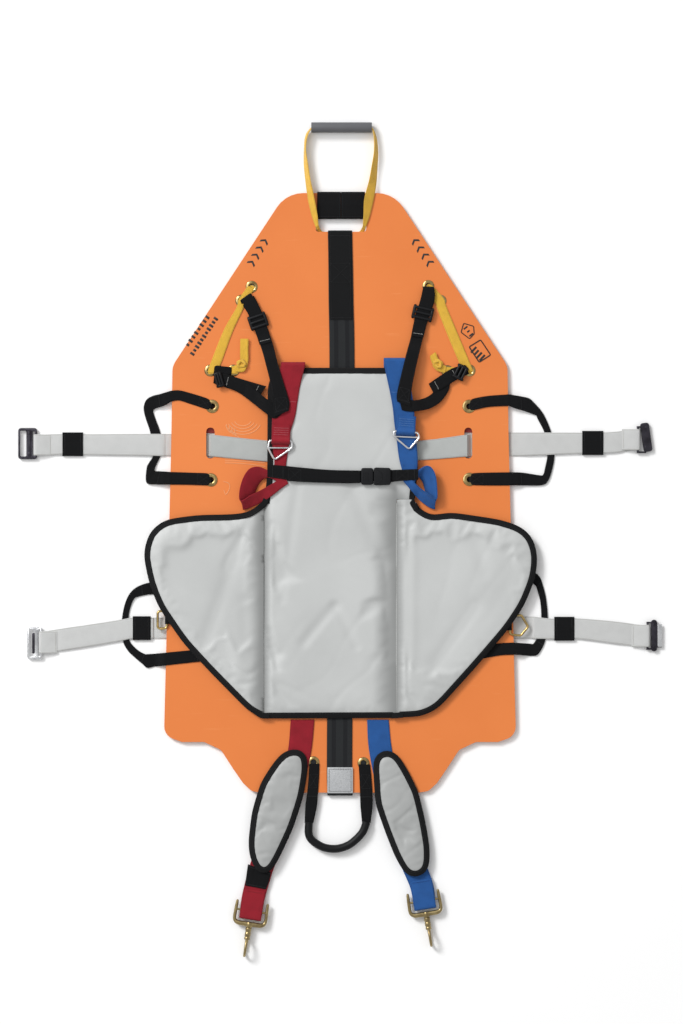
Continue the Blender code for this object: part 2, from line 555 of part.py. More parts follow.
back = ribbon("back", [(112.1, 266.2, 117, 245.7, OVER_STRAP + 0.1), (125.4, 266.6, 127.3, 243, OVER_STRAP),
                       (142.5, 264.3, 144.4, 243.4, OVER_STRAP), (161.5, 269.2, 169.1, 248.3, OVER_STRAP - 8),
                       (174.8, 277.6, 191.1, 261.6, LOW + 3), (186.2, 292, 206.3, 283.3, LOW + 0.3),
                       (199.5, 309.1, 210.9, 297.7, LOW + 0.3), (226.1, 325.3, 234.6, 310.1, LOW + 0.3),
                       (239.4, 330.4, 244.3, 316.7, LOW + 0.3)])
tab = ribbon("tab", [(237.5, 331.9, 245.1, 314.8, LOW + 2.1), (212.8, 325.1, 223.4, 304.6, LOW + 2.1),
                     (190, 311, 201.4, 290.9, LOW + 2.1), (168, 295.8, 177.8, 276.8, LOW + 2.1)])
paint(union(run, back, tab), "right_adjuster_strap", BLACK, 0.75)


def slider(name, x, y, turn, length, width):
    """A ladder-lock slider: side rails joined by bars over and under the strap."""
    z0, z1 = LOW - WEB / 2 - 1.6, LOW + WEB / 2 + 3.4
    body = box(name, (x - width / 2, x + width / 2), (y - length / 2, y + length / 2), (z0 + 0.2, z1), turn)
    hole = box("way", (x - width / 2 + 2.6, x + width / 2 - 2.6), (y - length, y + length),
               (LOW - WEB / 2 - 0.4, LOW + WEB / 2 + 0.5), turn)
    window = box("window", (x - width / 2 + 2.6, x + width / 2 - 2.6), (y - 3.0, y + 3.0),
                 (LOW + WEB / 2, z1 + 5), turn)
    return paint(cut(body, hole, window), name, (0.02, 0.02, 0.022), 0.45)


slider("left_adjuster_slider", -155.4, 414.4, 19, 23, 33)
slider("right_adjuster_slider", 156.9, 429.6, -13, 22, 37)

# Torso straps: from under the pad, down through the slots, under the board to its edge
for name, stations in (
    ("left_torso_strap_inner", [(-62, 186, -62, 146, ON_BOARD), (-137, 188, -137, 148, ON_BOARD),
                                (-239.5, 198.6, -239.5, 157.4, ON_BOARD),
                                (-242.5, 199, -242.5, 157.6, ON_BOARD - 1),
                                (-244.8, 199.4, -244.8, 157.8, ON_BOARD - 3.4),
                                (-247.2, 199.6, -247.2, 158, FLOOR_WEB + 3.2),
                                (-249.5, 200, -249.5, 158, FLOOR_WEB + 0.9),
                                (-252.5, 200, -252.5, 158, FLOOR_WEB),
                                (-EDGE_X + FLEX_GAP, 201, -EDGE_X + FLEX_GAP, 159, FLOOR_WEB)]),
    ("right_torso_strap_inner", [(62, 149, 62, 188, ON_BOARD), (152, 151, 152, 188, ON_BOARD),
                                 (237.5, 157.4, 237.5, 198.6, ON_BOARD),
                                 (240.5, 157.6, 240.5, 199, ON_BOARD - 1),
                                 (242.8, 157.8, 242.8, 199.6, ON_BOARD - 3.4),
                                 (245, 158, 245, 200, FLOOR_WEB + 3.2),
                                 (247.3, 158, 247.3, 200.4, FLOOR_WEB + 0.9),
                                 (250, 158, 250, 200.6, FLOOR_WEB),
                                 (EDGE_X - FLEX_GAP, 159, EDGE_X - FLEX_GAP, 203.6, FLOOR_WEB)]),
):
    rows = [(s[0], s[1], s[4], s[2], s[3], s[4]) for s in stations]
    paint(ribbon(name, rows, steps=1), name, GREY_WEB, 0.75)
lower_edges = [(LEFT_FLEX_X + FLEX_GAP, -148, LEFT_FLEX_X + FLEX_GAP, -188), (-330, -148, -330, -188),
               (0, -147, 0, -188),
               (330, -146, 330, -188), (RIGHT_FLEX_X - FLEX_GAP, -146, RIGHT_FLEX_X - FLEX_GAP, -188)]
paint(ribbon("under", [(*e, FLOOR_WEB) for e in lower_edges], steps=1), "lower_strap_under_board", GREY_WEB,
      0.75)


# Side handles -----------------------------------------------------------------------------------
def post(x, y, low):
    return rod("post", (x, y, low), (x, y, ON_BOARD), 4.6, 10)


def upper_anchor(name, top_run, low_run, eyelets, under):
    """The fixed part of an upper handle: two runs on the board, down through eyelets, joined under it."""
    runs = [ribbon("run", [(*s, ON_BOARD) for s in rows]) for rows in (top_run, low_run)]
    posts = [post(*spot, FLOOR_WEB) for spot in eyelets]
    link = ribbon("link", [(*s, FLOOR_WEB) for s in under])
    return paint(union(*runs[:1], posts[0], link, posts[1], runs[1]), name, BLACK, 0.75)


upper_anchor("left_upper_handle_anchor",
             [(-233.7, 261.6, -239.4, 244.5), (-250.8, 270, -254.6, 245.3), (-281.2, 279.5, -283.1, 254.8),
              (-320.6, 279.6, -320.6, 255.5)],
             [(-235.6, 122.9, -235.6, 103.9), (-254.6, 125.6, -254.6, 103.9), (-285, 126.7, -285, 104.9),
              (-320.6, 128, -320.6, 105)],
             HANDLE_EYELETS[:2],
             [(-250.8, 261.6, -228, 265.4), (-228, 238.8, -205.2, 250.2), (-224.2, 183.7, -201.4, 183.7),
              (-229.9, 124.8, -205.2, 113.4),
              (-252.7, 109.6, -229.9, 98.2)])
upper_anchor("right_upper_handle_anchor",
             [(235.6, 244.5, 235.6, 261.6), (254.6, 245.3, 252.7, 269.2), (283.1, 249.1, 281.2, 273),
              (320.6, 251, 320.6, 276)],
             [(235.6, 104.9, 235.6, 122.9), (254.6, 103.2, 254.6, 127.5), (285, 102.8, 285, 127.5),
              (320.6, 103, 320.6, 128)],
             HANDLE_EYELETS[2:],
             [(229.9, 265.4, 252.7, 261.6), (207.1, 250.2, 229.9, 238.8), (201.4, 183.7, 224.2, 183.7),
              (207.1, 117.2, 229.9, 128.6),
              (229.9, 98.2, 252.7, 109.6)])


def lower_anchor(name, rows, eyelets, tab):
    """The fixed part of a lower handle, all on the board under the wing, with the brass ring's tab."""
    pieces = [ribbon("run", stations) for stations in rows]
    pieces += [rod("post", (x, y, BOARD_BOTTOM), (x, y, ON_BOARD), 4.6, 10) for x, y in eyelets]
    pieces.append(ribbon("tab", tab, steps=1))
    return paint(union(*pieces), name, BLACK, 0.75)


def ring_tab(side, root_x, bar_x):
    """A short tab from the handle's root that rises over the brass ring's inner bar."""
    rows = [(root_x, ON_BOARD + 0.1), (bar_x - side * 8, ON_BOARD + 0.1)]
    rows += [(bar_x - side * 4.4, ON_BOARD + 1.2), (bar_x - side * 2.8, ON_BOARD + 3.1),
             (bar_x, ON_BOARD + 3.7)]
    return rows


LEFT_RING_X, RIGHT_RING_X = -328.5, 322.5
lower_anchor("left_lower_handle_anchor", [
    [(-244, -95, -246, -70, ON_BOARD), (-262, -98, -262, -73, ON_BOARD), (-318, -103, -318, -80, ON_BOARD),
     (-333, -103.6, -333, -81, ON_BOARD), (LEFT_FLEX_X + FLEX_GAP, -103.6, LEFT_FLEX_X + FLEX_GAP, -82,
                                           FLOOR_WEB)],
    [(-243, -76, -267, -76, ON_BOARD + 0.2), (-243, -150, -267, -150, ON_BOARD + 0.2),
     (-243, -226, -267, -226, ON_BOARD + 0.2)],
    [(-244, -230, -244, -208, ON_BOARD), (-262, -231, -262, -208, ON_BOARD),
     (-318, -237, -318, -213, ON_BOARD),
     (-333, -239, -333, -214.6, ON_BOARD), (LEFT_FLEX_X + FLEX_GAP, -241, LEFT_FLEX_X + FLEX_GAP, -216.6,
                                            FLOOR_WEB)],
], LOWER_EYELETS[:2], [(x, -140, z, x, -160, z) for x, z in ring_tab(-1, -250, LEFT_RING_X)])
lower_anchor("right_lower_handle_anchor", [
    [(250, -52, 250, -77, ON_BOARD), (268, -54, 268, -78, ON_BOARD), (322, -56, 322, -79, ON_BOARD),
     (337, -56.6, 337, -79.6, ON_BOARD), (RIGHT_FLEX_X - FLEX_GAP, -57, RIGHT_FLEX_X - FLEX_GAP, -80,
                                          FLOOR_WEB)],
    [(273, -60, 249, -60, ON_BOARD + 0.2), (273, -140, 249, -140, ON_BOARD + 0.2),
     (273, -224, 249, -224, ON_BOARD + 0.2)],
    [(250, -203, 250, -226, ON_BOARD), (268, -203, 268, -226, ON_BOARD), (300, -197, 300, -220, ON_BOARD),
     (322, -195.4, 322, -218.4, ON_BOARD), (337, -195.6, 337, -218.6, ON_BOARD),
     (RIGHT_FLEX_X - FLEX_GAP, -197, RIGHT_FLEX_X - FLEX_GAP, -220, FLOOR_WEB)],
], LOWER_EYELETS[2:], [(x, -172, z, x, -152, z) for x, z in ring_tab(1, 256, RIGHT_RING_X)])


def handle_loop(name, stations):
    return paint(ribbon(name, stations, steps=3), name, BLACK, 0.75)


handle_loop("left_upper_handle", [
    (-EDGE_X - FLEX_GAP, 255.6, -EDGE_X - FLEX_GAP, 279.4, ON_BOARD), (-330, 253, -331, 277.6, ON_BOARD - 2),
    (-341, 246, -350, 271.6, FLOOR_WEB + 1), (-345.6, 232, -368, 252, FLOOR_WEB),
    (-346.6, 205, -371.4, 206, FLOOR_WEB), (-346, 170, -370, 168, FLOOR_WEB),
    (-345, 150, -367.6, 138, FLOOR_WEB),
    (-341, 132, -366, 114, FLOOR_WEB), (-332, 128.6, -336, 105.4, FLOOR_WEB + 5),
    (-EDGE_X - FLEX_GAP, 128, -EDGE_X - FLEX_GAP, 105, ON_BOARD)])
handle_loop("right_upper_handle", [
    (EDGE_X + FLEX_GAP, 276, EDGE_X + FLEX_GAP, 251, ON_BOARD), (332, 275.6, 330, 250, ON_BOARD - 2),
    (352, 272, 344, 246, FLOOR_WEB + 1), (372, 262, 356, 240, FLOOR_WEB), (396, 238, 375, 221, FLOOR_WEB),
    (404.6, 205, 380.6, 203, FLOOR_WEB), (405, 170, 382, 172, FLOOR_WEB), (404.6, 140, 380, 150, FLOOR_WEB),
    (401, 106, 371, 131, FLOOR_WEB), (352, 103, 350, 128, FLOOR_WEB), (334, 103, 334, 128, FLOOR_WEB + 5),
    (EDGE_X + FLEX_GAP, 103, EDGE_X + FLEX_GAP, 128, ON_BOARD)])
handle_loop("left_lower_handle", [
    (LEFT_FLEX_X - FLEX_GAP, -103.6, LEFT_FLEX_X - FLEX_GAP, -82, FLOOR_WEB),
    (-366, -104, -368, -83, FLOOR_WEB),
    (-380, -106.6, -388, -92, FLOOR_WEB), (-391, -112, -402, -105, FLOOR_WEB),
    (-397.6, -124, -410, -125, FLOOR_WEB),
    (-399, -142, -414, -144, FLOOR_WEB), (-399, -166, -415, -168, FLOOR_WEB),
    (-398, -188, -413.6, -190, FLOOR_WEB),
    (-392, -200, -405, -208.6, FLOOR_WEB), (-381.6, -211, -391.6, -223.6, FLOOR_WEB),
    (-371, -216.6, -376, -236, FLOOR_WEB), (LEFT_FLEX_X - FLEX_GAP, -216.6, LEFT_FLEX_X - FLEX_GAP, -241,
                                            FLOOR_WEB)])
handle_loop("right_lower_handle", [
    (RIGHT_FLEX_X + FLEX_GAP, -57, RIGHT_FLEX_X + FLEX_GAP, -80, FLOOR_WEB), (379, -70, 372, -88, FLOOR_WEB),
    (387.6, -93, 376.6, -104, FLOOR_WEB), (392, -114, 379.6, -120, FLOOR_WEB),
    (394.6, -144, 380, -145, FLOOR_WEB),
    (394, -168, 379, -168, FLOOR_WEB), (391, -188, 376, -184, FLOOR_WEB),
    (385.6, -204, 372.4, -192.4, FLOOR_WEB),
    (376, -216.6, 368, -196.6, FLOOR_WEB), (RIGHT_FLEX_X + FLEX_GAP, -220, RIGHT_FLEX_X + FLEX_GAP, -197,
                                            FLOOR_WEB)])

# Brass rings at the board's edge
RING_LEVEL = BOARD_TOP + 0.2 + 1.8
left_ring = wire("ring", [(x, y, RING_LEVEL) for x, y in
                          rounded([(LEFT_RING_X, -134.6), (LEFT_RING_X, -168), (-346, -169), (-346, -136)],
                                  5, 3)],
                 1.8, closed=True)
paint(left_ring, "left_brass_ring", BRASS, 0.3, 1.0)
right_ring = wire("ring", [(x, y, RING_LEVEL) for x, y in
                           rounded([(RIGHT_RING_X, -144.6), (RIGHT_RING_X, -179.6), (343, -182), (357, -165),
                                    (344, -143)], 5, 3)],
                  1.8, closed=True)
paint(right_ring, "right_brass_ring", BRASS, 0.3, 1.0)


# Side straps with keepers and end fittings ------------------------------------------------------
def side_strap(name, side, keeper, tip, edges):
    """edges: rows of x, top y, low y, height. The tip folds round the end fitting's bar."""
    rows = []
    for x, high, low, z in edges:
        rows.append((x, high, z, x, low, z) if side < 0 else (x, low, z, x, high, z))
    strap = ribbon(name, rows, steps=2)
    x, high, low = tip
    turned = fold("fold", (x, (high + low) / 2, FLOOR_WEB + FOLD), (side, 0), abs(high - low) / 2, 26,
                  FLOOR_WEB + WEB - 0.2)
    paint(union(strap, turned), name, GREY_WEB, 0.75)
    x0, x1, low, high = keeper
    shell = slab("shell", rounded([(x0, low - 2.4), (x1, low - 2.4), (x1, high + 2.4), (x0, high + 2.4)],
                                  1.5, 1),
                 0.05, RAISED_WEB + WEB / 2 + 0.4 + 1.6)
    way = box("way", (x0 - 9, x1 + 9), (low - 0.6, high + 0.6),
              (RAISED_WEB - WEB / 2 - 0.35, RAISED_WEB + WEB / 2 + 0.4))
    return paint(cut(shell, way), name.replace("strap", "keeper"), BLACK, 0.7)


side_strap("left_torso_strap", -1, (-527, -488, 161, 201.6), (-577.5, 200, 160), [
    (-EDGE_X - FLEX_GAP, 201, 159, FLOOR_WEB), (-330, 201, 159, FLOOR_WEB + 0.3),
    (-343, 201, 159, RAISED_WEB),
    (-400, 201, 160, RAISED_WEB), (-470, 200.6, 161, RAISED_WEB), (-508, 200.6, 162, RAISED_WEB),
    (-546, 200.6, 161, RAISED_WEB), (-565, 200, 160, FLOOR_WEB), (-577, 200, 160, FLOOR_WEB)])
side_strap("right_torso_strap", 1, (460, 500, 163, 204.4), (565.5, 210, 170), [
    (EDGE_X + FLEX_GAP, 203.6, 159, FLOOR_WEB), (332, 203.6, 159, FLOOR_WEB + 0.3),
    (370, 203.6, 160, RAISED_WEB),
    (440, 203.4, 163, RAISED_WEB), (480, 203.4, 164, RAISED_WEB), (520, 205, 165, RAISED_WEB),
    (550, 208.6, 168.6, FLOOR_WEB), (565, 210, 170, FLOOR_WEB)])
side_strap("left_lower_strap", -1, (-393.5, -359.5, -188.4, -147.6), (-567.5, -174, -216), [
    (LEFT_FLEX_X - FLEX_GAP, -148, -188, FLOOR_WEB), (-355.4, -148, -188, FLOOR_WEB),
    (-359, -148, -188, RAISED_WEB),
    (-394, -148, -188, RAISED_WEB), (-401, -148.8, -188.8, RAISED_WEB), (-420, -152.4, -193, RAISED_WEB),
    (-478, -161.4, -203, RAISED_WEB), (-520, -167.4, -209.4, RAISED_WEB), (-552, -172.4, -214.6, FLOOR_WEB),
    (-567, -174, -216, FLOOR_WEB)])
side_strap("right_lower_strap", 1, (407, 445, -189.6, -148.6), (584, -161.5, -203.5), [
    (RIGHT_FLEX_X + FLEX_GAP, -146, -188, FLOOR_WEB), (365, -146, -188, FLOOR_WEB + 0.2),
    (371, -146.4, -188, RAISED_WEB),
    (398, -149.6, -188.6, RAISED_WEB), (426, -149.6, -188.6, RAISED_WEB), (456, -149.6, -188.6, RAISED_WEB),
    (520, -155, -197, RAISED_WEB), (566, -161, -203, FLOOR_WEB), (583.6, -161.5, -203.5, FLOOR_WEB)])


def frame_fitting(name, side, axis, strap_half, reach, half, window):
    """An end frame: a bar in the strap's fold, two arms, a solid bar and an outer window."""
    x, y = axis
    z = FLOOR_WEB + FOLD
    outer = [(x - side * 2.4, y - half), (x + side * reach, y - half), (x + side * reach, y + half),
             (x - side * 2.4, y + half)]
    plate = slab(name, rounded(outer, 5, 3), z - 1.7, z + 1.7, 0.6, 1)
    near, far = sorted((x - side * 5, x + side * 6.4))
    inner = box("inner", (near, far), (y - strap_half - 1.2, y + strap_half + 1.2), (z - 5, z + 5))
    tools = [inner]
    if window:
        w0, w1 = sorted((x + side * window[0], x + side * window[1]))
        tools.append(slab("window", rounded([(w0, y - half + 5), (w1, y - half + 5), (w1, y + half - 5),
                                             (w0, y + half - 5)], 2, 2), z - 5, z + 5))
    plate = cut(plate, *tools)
    bar = rod("bar", (x, y - half + 2, z), (x, y + half - 2, z), BAR, 10)
    return paint(union(plate, bar), name, ANODISED, 0.35, 0.9)


frame_fitting("left_torso_end_frame", -1, (-577.5, 182.5), 22, 33.5, 29.5, (18, 29.5))
frame_fitting("left_lower_end_frame", -1, (-567.5, -196.5), 23, 26.5, 30.5, (14, 21.5))


def tongue_fitting(name, axis, strap_half, plate, turn, lip=0.0):
    """An end tongue: a bar in the strap's fold with two arms to a solid tongue bar."""
    x, y = axis
    z = FLOOR_WEB + FOLD
    x0, x1, y0, y1 = plate
    corners = [(x0, y0), (x1, y0), (x1, y1), (x0, y1)]
    middle = Vector(((x0 + x1) / 2, (y0 + y1) / 2))
    spin = Matrix.Rotation(radians(turn), 2)
    turned = [(spin @ (Vector(c) - middle) + middle) for c in corners]
    body = slab(name, rounded([tuple(c) for c in turned], 5, 3), z - 2.6, z + 2.6, 0.8, 1)
    near, far = strap_half + 2.2, strap_half + 5.6
    arms = [box("arm", (x - 2.2, (x0 + x1) / 2), span, (z - 1.6, z + 1.6))
            for span in ((y - far, y - near), (y + near, y + far))]
    bar = rod("bar", (x, y - strap_half - 4, z), (x, y + strap_half + 4, z), BAR, 10)
    pieces = [body, *arms, bar]
    if lip:
        pieces.append(box("lip", (x1 - 3, x1 + lip), (y - 22, y + 22), (z - 1, z + 1)))
    return paint(union(*pieces), name, ANODISED, 0.35, 0.9)


tongue_fitting("right_torso_end_tongue", (565.5, 190), 20, (573, 590, 167, 222), 8)
tongue_fitting("right_lower_end_tongue", (584, -182.5), 21, (590.6, 602, -212, -152), 0, 9)

# Foot handle ------------------------------------------------------------------------------------
GRIP_PATH = [(-58.9, -540.2), (-59.7, -555.4), (-55.9, -566.8), (-45.6, -576.3), (-28.5, -584.6),
             (-6.1, -586.5), (15.2, -580.1), (31.5, -567.9),
             (43.7, -553.5), (50.2, -540.2)]
FOOT_GRIP_Z = 8.0
left_run = ribbon("left_run", [(-58.1, -425, -38.9, -425, ON_BOARD), (-59.7, -452.8, -39.9, -452.8, ON_BOARD),
                               (-62.7, -482.4, -41.8, -482.4, ON_BOARD),
                               (-65.7, -504.1, -43.7, -506, FOOT_GRIP_Z),
                               (-67.3, -537.5, -50.5, -537.5, FOOT_GRIP_Z)])
right_run = ribbon("right_run", [(35.3, -426.2, 57, -426.2, ON_BOARD), (36.9, -452.8, 59.7, -452.8, ON_BOARD),
                                 (38, -482.4, 61.6, -482.4, ON_BOARD), (38.8, -506, 61.9, -506, FOOT_GRIP_Z),
                                 (41.8, -537.5, 58.1, -537.5, FOOT_GRIP_Z)])
sleeve = [(x, y, FOOT_GRIP_Z) for x, y in GRIP_PATH]
inner = [(sleeve[0][0], sleeve[0][1] + 4, FOOT_GRIP_Z), *sleeve,
         (sleeve[-1][0], sleeve[-1][1] + 4, FOOT_GRIP_Z)]
core = wire("core", inner, 2.6)
paint(union(core, left_run, right_run), "foot_handle_webbing", BLACK, 0.75)
hose = wire("hose", [(sleeve[0][0], sleeve[0][1] - 4, FOOT_GRIP_Z), *sleeve[1:-1],
                     (sleeve[-1][0], sleeve[-1][1] - 4, FOOT_GRIP_Z)], 7.6, roundness=2)
space = wire("space", [(sleeve[0][0], sleeve[0][1] + 6, FOOT_GRIP_Z), *sleeve,
                       (sleeve[-1][0], sleeve[-1][1] + 6, FOOT_GRIP_Z)], 3.6)
paint(cut(hose, space), "foot_handle_grip", (0.02, 0.02, 0.022), 0.5)


# Leg straps, leaf pads and swivel snaps ---------------------------------------------------------
def leg_strap(name, rgb, edges, axis, outward, width):
    strap = ribbon(name, edges)
    turned = fold("fold", axis, outward, width / 2, 22, edges[-1][4] + WEB - 0.2)
    return paint(union(strap, turned), name, rgb, 0.65)


SNAP_Z = 9.0
TAIL_Z = SNAP_Z - FOLD
LEFT_OUT = Vector((-0.155, -0.988)).normalized()
RIGHT_OUT = Vector((0.16, -0.987)).normalized()
LEFT_BAR = Vector((-168.3, -704.7))
RIGHT_BAR = Vector((159.6, -685.3))


def tail_edge(bar, out, back, half):
    """Both edges of the strap so far back from the bar."""
    middle = bar - out * back
    across = Vector((out.y, -out.x)) * half
    a, b = middle - across, middle + across
    return (a.x, a.y, b.x, b.y)


leg_strap("left_leg_strap", RED, [
    (-48.6, -341.8, -93.5, -341.8, ON_BOARD), (-54.3, -399.6, -98.8, -399.6, ON_BOARD),
    (-70.3, -475.6, -114.8, -466.1, ON_BOARD),
    (-86.3, -523.1, -129.2, -509.8, ON_BOARD - 0.4), (-105.3, -574.4, -149, -559.2, TAIL_Z + 1),
    (-125.4, -623.8, -170.2, -614.3, TAIL_Z),
    (*tail_edge(LEFT_BAR, LEFT_OUT, 28, 22), TAIL_Z), (*tail_edge(LEFT_BAR, LEFT_OUT, 1, 21), TAIL_Z)],
    (*LEFT_BAR, SNAP_Z), tuple(LEFT_OUT), 42)
leg_strap("right_leg_strap", BLUE, [
    (92.3, -341.8, 51.3, -341.8, ON_BOARD), (98.8, -399.6, 55.1, -399.6, ON_BOARD),
    (115.9, -475.6, 72.2, -487, ON_BOARD),
    (129.2, -517.4, 85.5, -532.6, ON_BOARD - 0.4), (146.3, -566.8, 103.7, -582, TAIL_Z + 1),
    (162.3, -612.4, 117.8, -623.8, TAIL_Z),
    (*tail_edge(RIGHT_BAR, RIGHT_OUT, 28, 22), TAIL_Z), (*tail_edge(RIGHT_BAR, RIGHT_OUT, 1, 21), TAIL_Z)],
    (*RIGHT_BAR, SNAP_Z), tuple(RIGHT_OUT), 42)
LEFT_LEAF = [(-83.6, -395.8), (-63.5, -405.3), (-61.9, -435.7), (-70.3, -487), (-89.3, -545.9),
             (-114, -599.1), (-129.2, -626.8), (-144.4, -635.9),
             (-160.4, -625.7), (-171, -599.1), (-172.9, -572.5), (-166.4, -517.4), (-150.1, -462.3),
             (-127.3, -426.2), (-108.3, -403.4)]
RIGHT_LEAF = [(87.4, -397.7), (65.7, -409.1), (63.5, -430), (68, -500.3), (86.6, -553.5), (104.5, -599.1),
              (124.8, -635.2),
              (144.4, -640.9), (163.4, -631.4), (169.1, -616.2), (169.1, -582), (160.7, -533.5),
              (147.6, -477.5), (128.1, -438.7), (108.3, -406)]
LEAF_BOTTOM = ON_BOARD + WEB / 2 + 0.5
for name, corners in (("left_leg_pad", LEFT_LEAF), ("right_leg_pad", RIGHT_LEAF)):
    leaf = slab(name, rounded(corners, 12, 2), LEAF_BOTTOM, LEAF_BOTTOM + 9, 3, 2)
    paint(leaf, name, PAD_GREY, 0.5)


def placed(obj, origin, out):
    """Moves a piece built along +X, with its top towards +Z, to a point and a direction in plan."""
    turn = Matrix.Rotation(atan2(out.y, out.x), 4, "Z")
    obj.data.transform(Matrix.Translation(Vector((*origin, 0)) * MM) @ turn)
    return obj


def swivel_snap(prefix, bar, out):
    """Eye frame, hook and gate, each built along +X from the middle of the bar in the strap's fold."""
    z = SNAP_Z
    bend = [(-16, 29), (14, 30), (21, 28), (25, 22), (25, -22), (21, -28), (14, -30), (-16, -29)]
    frame = wire("frame", [(x, y, z) for x, y in bend], 2.5)
    bar_rod = rod("bar", (0, -28, z), (0, 28, z), BAR, 10)
    thick = rod("thick", (25, -23, z), (25, 23, z), 3.6, 10)
    boss = rod("boss", (22, 0, z), (31, 0, z), 6.2, 12)
    seat = rod("seat", (26, 0, z), (40, 0, z), 2.6, 12)
    frame = cut(union(frame, bar_rod, thick, boss), seat)
    paint(placed(frame, bar, out), prefix + "_snap_eye_frame", BRASS, 0.3, 1.0)
    stem = rod("stem", (27, 0, z), (36, 0, z), 2.2, 12)
    barrel = rod("barrel", (31.6, 0, z), (55, 0, z), 5.6, 12)
    hook = wire("hook", [(52, 0, z + 1), (56, 0, z + 6), (62, 0, z + 10.4), (71, 0, z + 11.6),
                         (80, 0, z + 9.4), (85.4, 0, z + 4),
                         (85.8, 0, z - 2), (82.6, 0, z - 5.4), (77, 0, z - 6.2)], 2.6)
    hook = union(barrel, stem, hook)
    paint(placed(hook, bar, out), prefix + "_snap_hook", BRASS, 0.3, 1.0)
    gate = box("gate", (56.4, 75.8), (-2.2, 2.2), (z - 8.2, z - 4.2))
    paint(placed(gate, bar, out), prefix + "_snap_gate", BRASS, 0.3, 1.0)


swivel_snap("left", LEFT_BAR, LEFT_OUT)
swivel_snap("right", RIGHT_BAR, RIGHT_OUT)
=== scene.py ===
"""The looks of a soft spine board with its harness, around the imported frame. Sizes are in millimetres."""

from math import atan2, cos, pi, radians, sin, tan

import bmesh
import bpy
import numpy as np
from mathutils import Matrix, Vector, noise
from mathutils.geometry import delaunay_2d_cdt


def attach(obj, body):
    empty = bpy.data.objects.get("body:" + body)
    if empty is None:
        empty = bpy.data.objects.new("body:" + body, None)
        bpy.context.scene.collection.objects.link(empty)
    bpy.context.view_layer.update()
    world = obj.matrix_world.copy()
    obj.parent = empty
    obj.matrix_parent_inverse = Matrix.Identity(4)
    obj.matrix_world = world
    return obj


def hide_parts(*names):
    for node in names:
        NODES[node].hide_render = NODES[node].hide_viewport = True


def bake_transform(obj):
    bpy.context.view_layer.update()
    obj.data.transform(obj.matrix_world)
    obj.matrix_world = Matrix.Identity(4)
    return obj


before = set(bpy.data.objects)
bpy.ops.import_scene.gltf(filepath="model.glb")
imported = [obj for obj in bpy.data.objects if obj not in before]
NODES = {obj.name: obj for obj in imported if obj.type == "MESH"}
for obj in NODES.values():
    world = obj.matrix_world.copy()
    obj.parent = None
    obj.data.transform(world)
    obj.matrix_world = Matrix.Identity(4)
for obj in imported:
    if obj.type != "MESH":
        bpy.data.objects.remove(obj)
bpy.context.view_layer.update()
MM = 0.001

# Heights, as in the frame
BOARD_BOTTOM = 2.5
BOARD_TOP = 8.1
WEB = 2.0
LACE = 1.6
FLOOR_WEB = 1.0
RAISED_WEB = 3.4
ON_BOARD = BOARD_TOP + 0.3 + WEB / 2
PAD_BOTTOM = ON_BOARD + WEB / 2 + 0.5
PAD_TOP = 22.0
WING_BOTTOM = 14.6
OVER_PAD = PAD_TOP + 0.6 + WEB / 2
CHEST_WEB = OVER_PAD + WEB + 0.6
LACE_Z = BOARD_TOP + 0.3 + LACE / 2
LOW = BOARD_TOP + 0.3 + LACE + 0.7 + WEB / 2
OVER_STRAP = OVER_PAD + WEB + 0.4
RING_Z = OVER_PAD + WEB / 2 + 2.6
RING_LEVEL = BOARD_TOP + 2.0
GRIP_Z = 9.8
FOOT_GRIP_Z = 8.0
FOLD = 3.6
SNAP_Z = 9.0
TAIL_Z = SNAP_Z - FOLD


# Materials --------------------------------------------------------------------------------------
WHITE_LEVEL = 1.12  # how bright a white surface lies in the light
SKY, KEY, FILL = 0.56, 2.05, 26.0  # strengths of the surroundings, the sun lamp and the panel


def tint(red, green, blue):
    """The surface colour that comes out as this screen colour, 0 to 255, in the scene's light."""
    screen = np.array([red, green, blue]) / 255
    linear = np.where(screen <= 0.04045, screen / 12.92, ((screen + 0.055) / 1.055) ** 2.4)
    return tuple(float(c) for c in linear / WHITE_LEVEL)


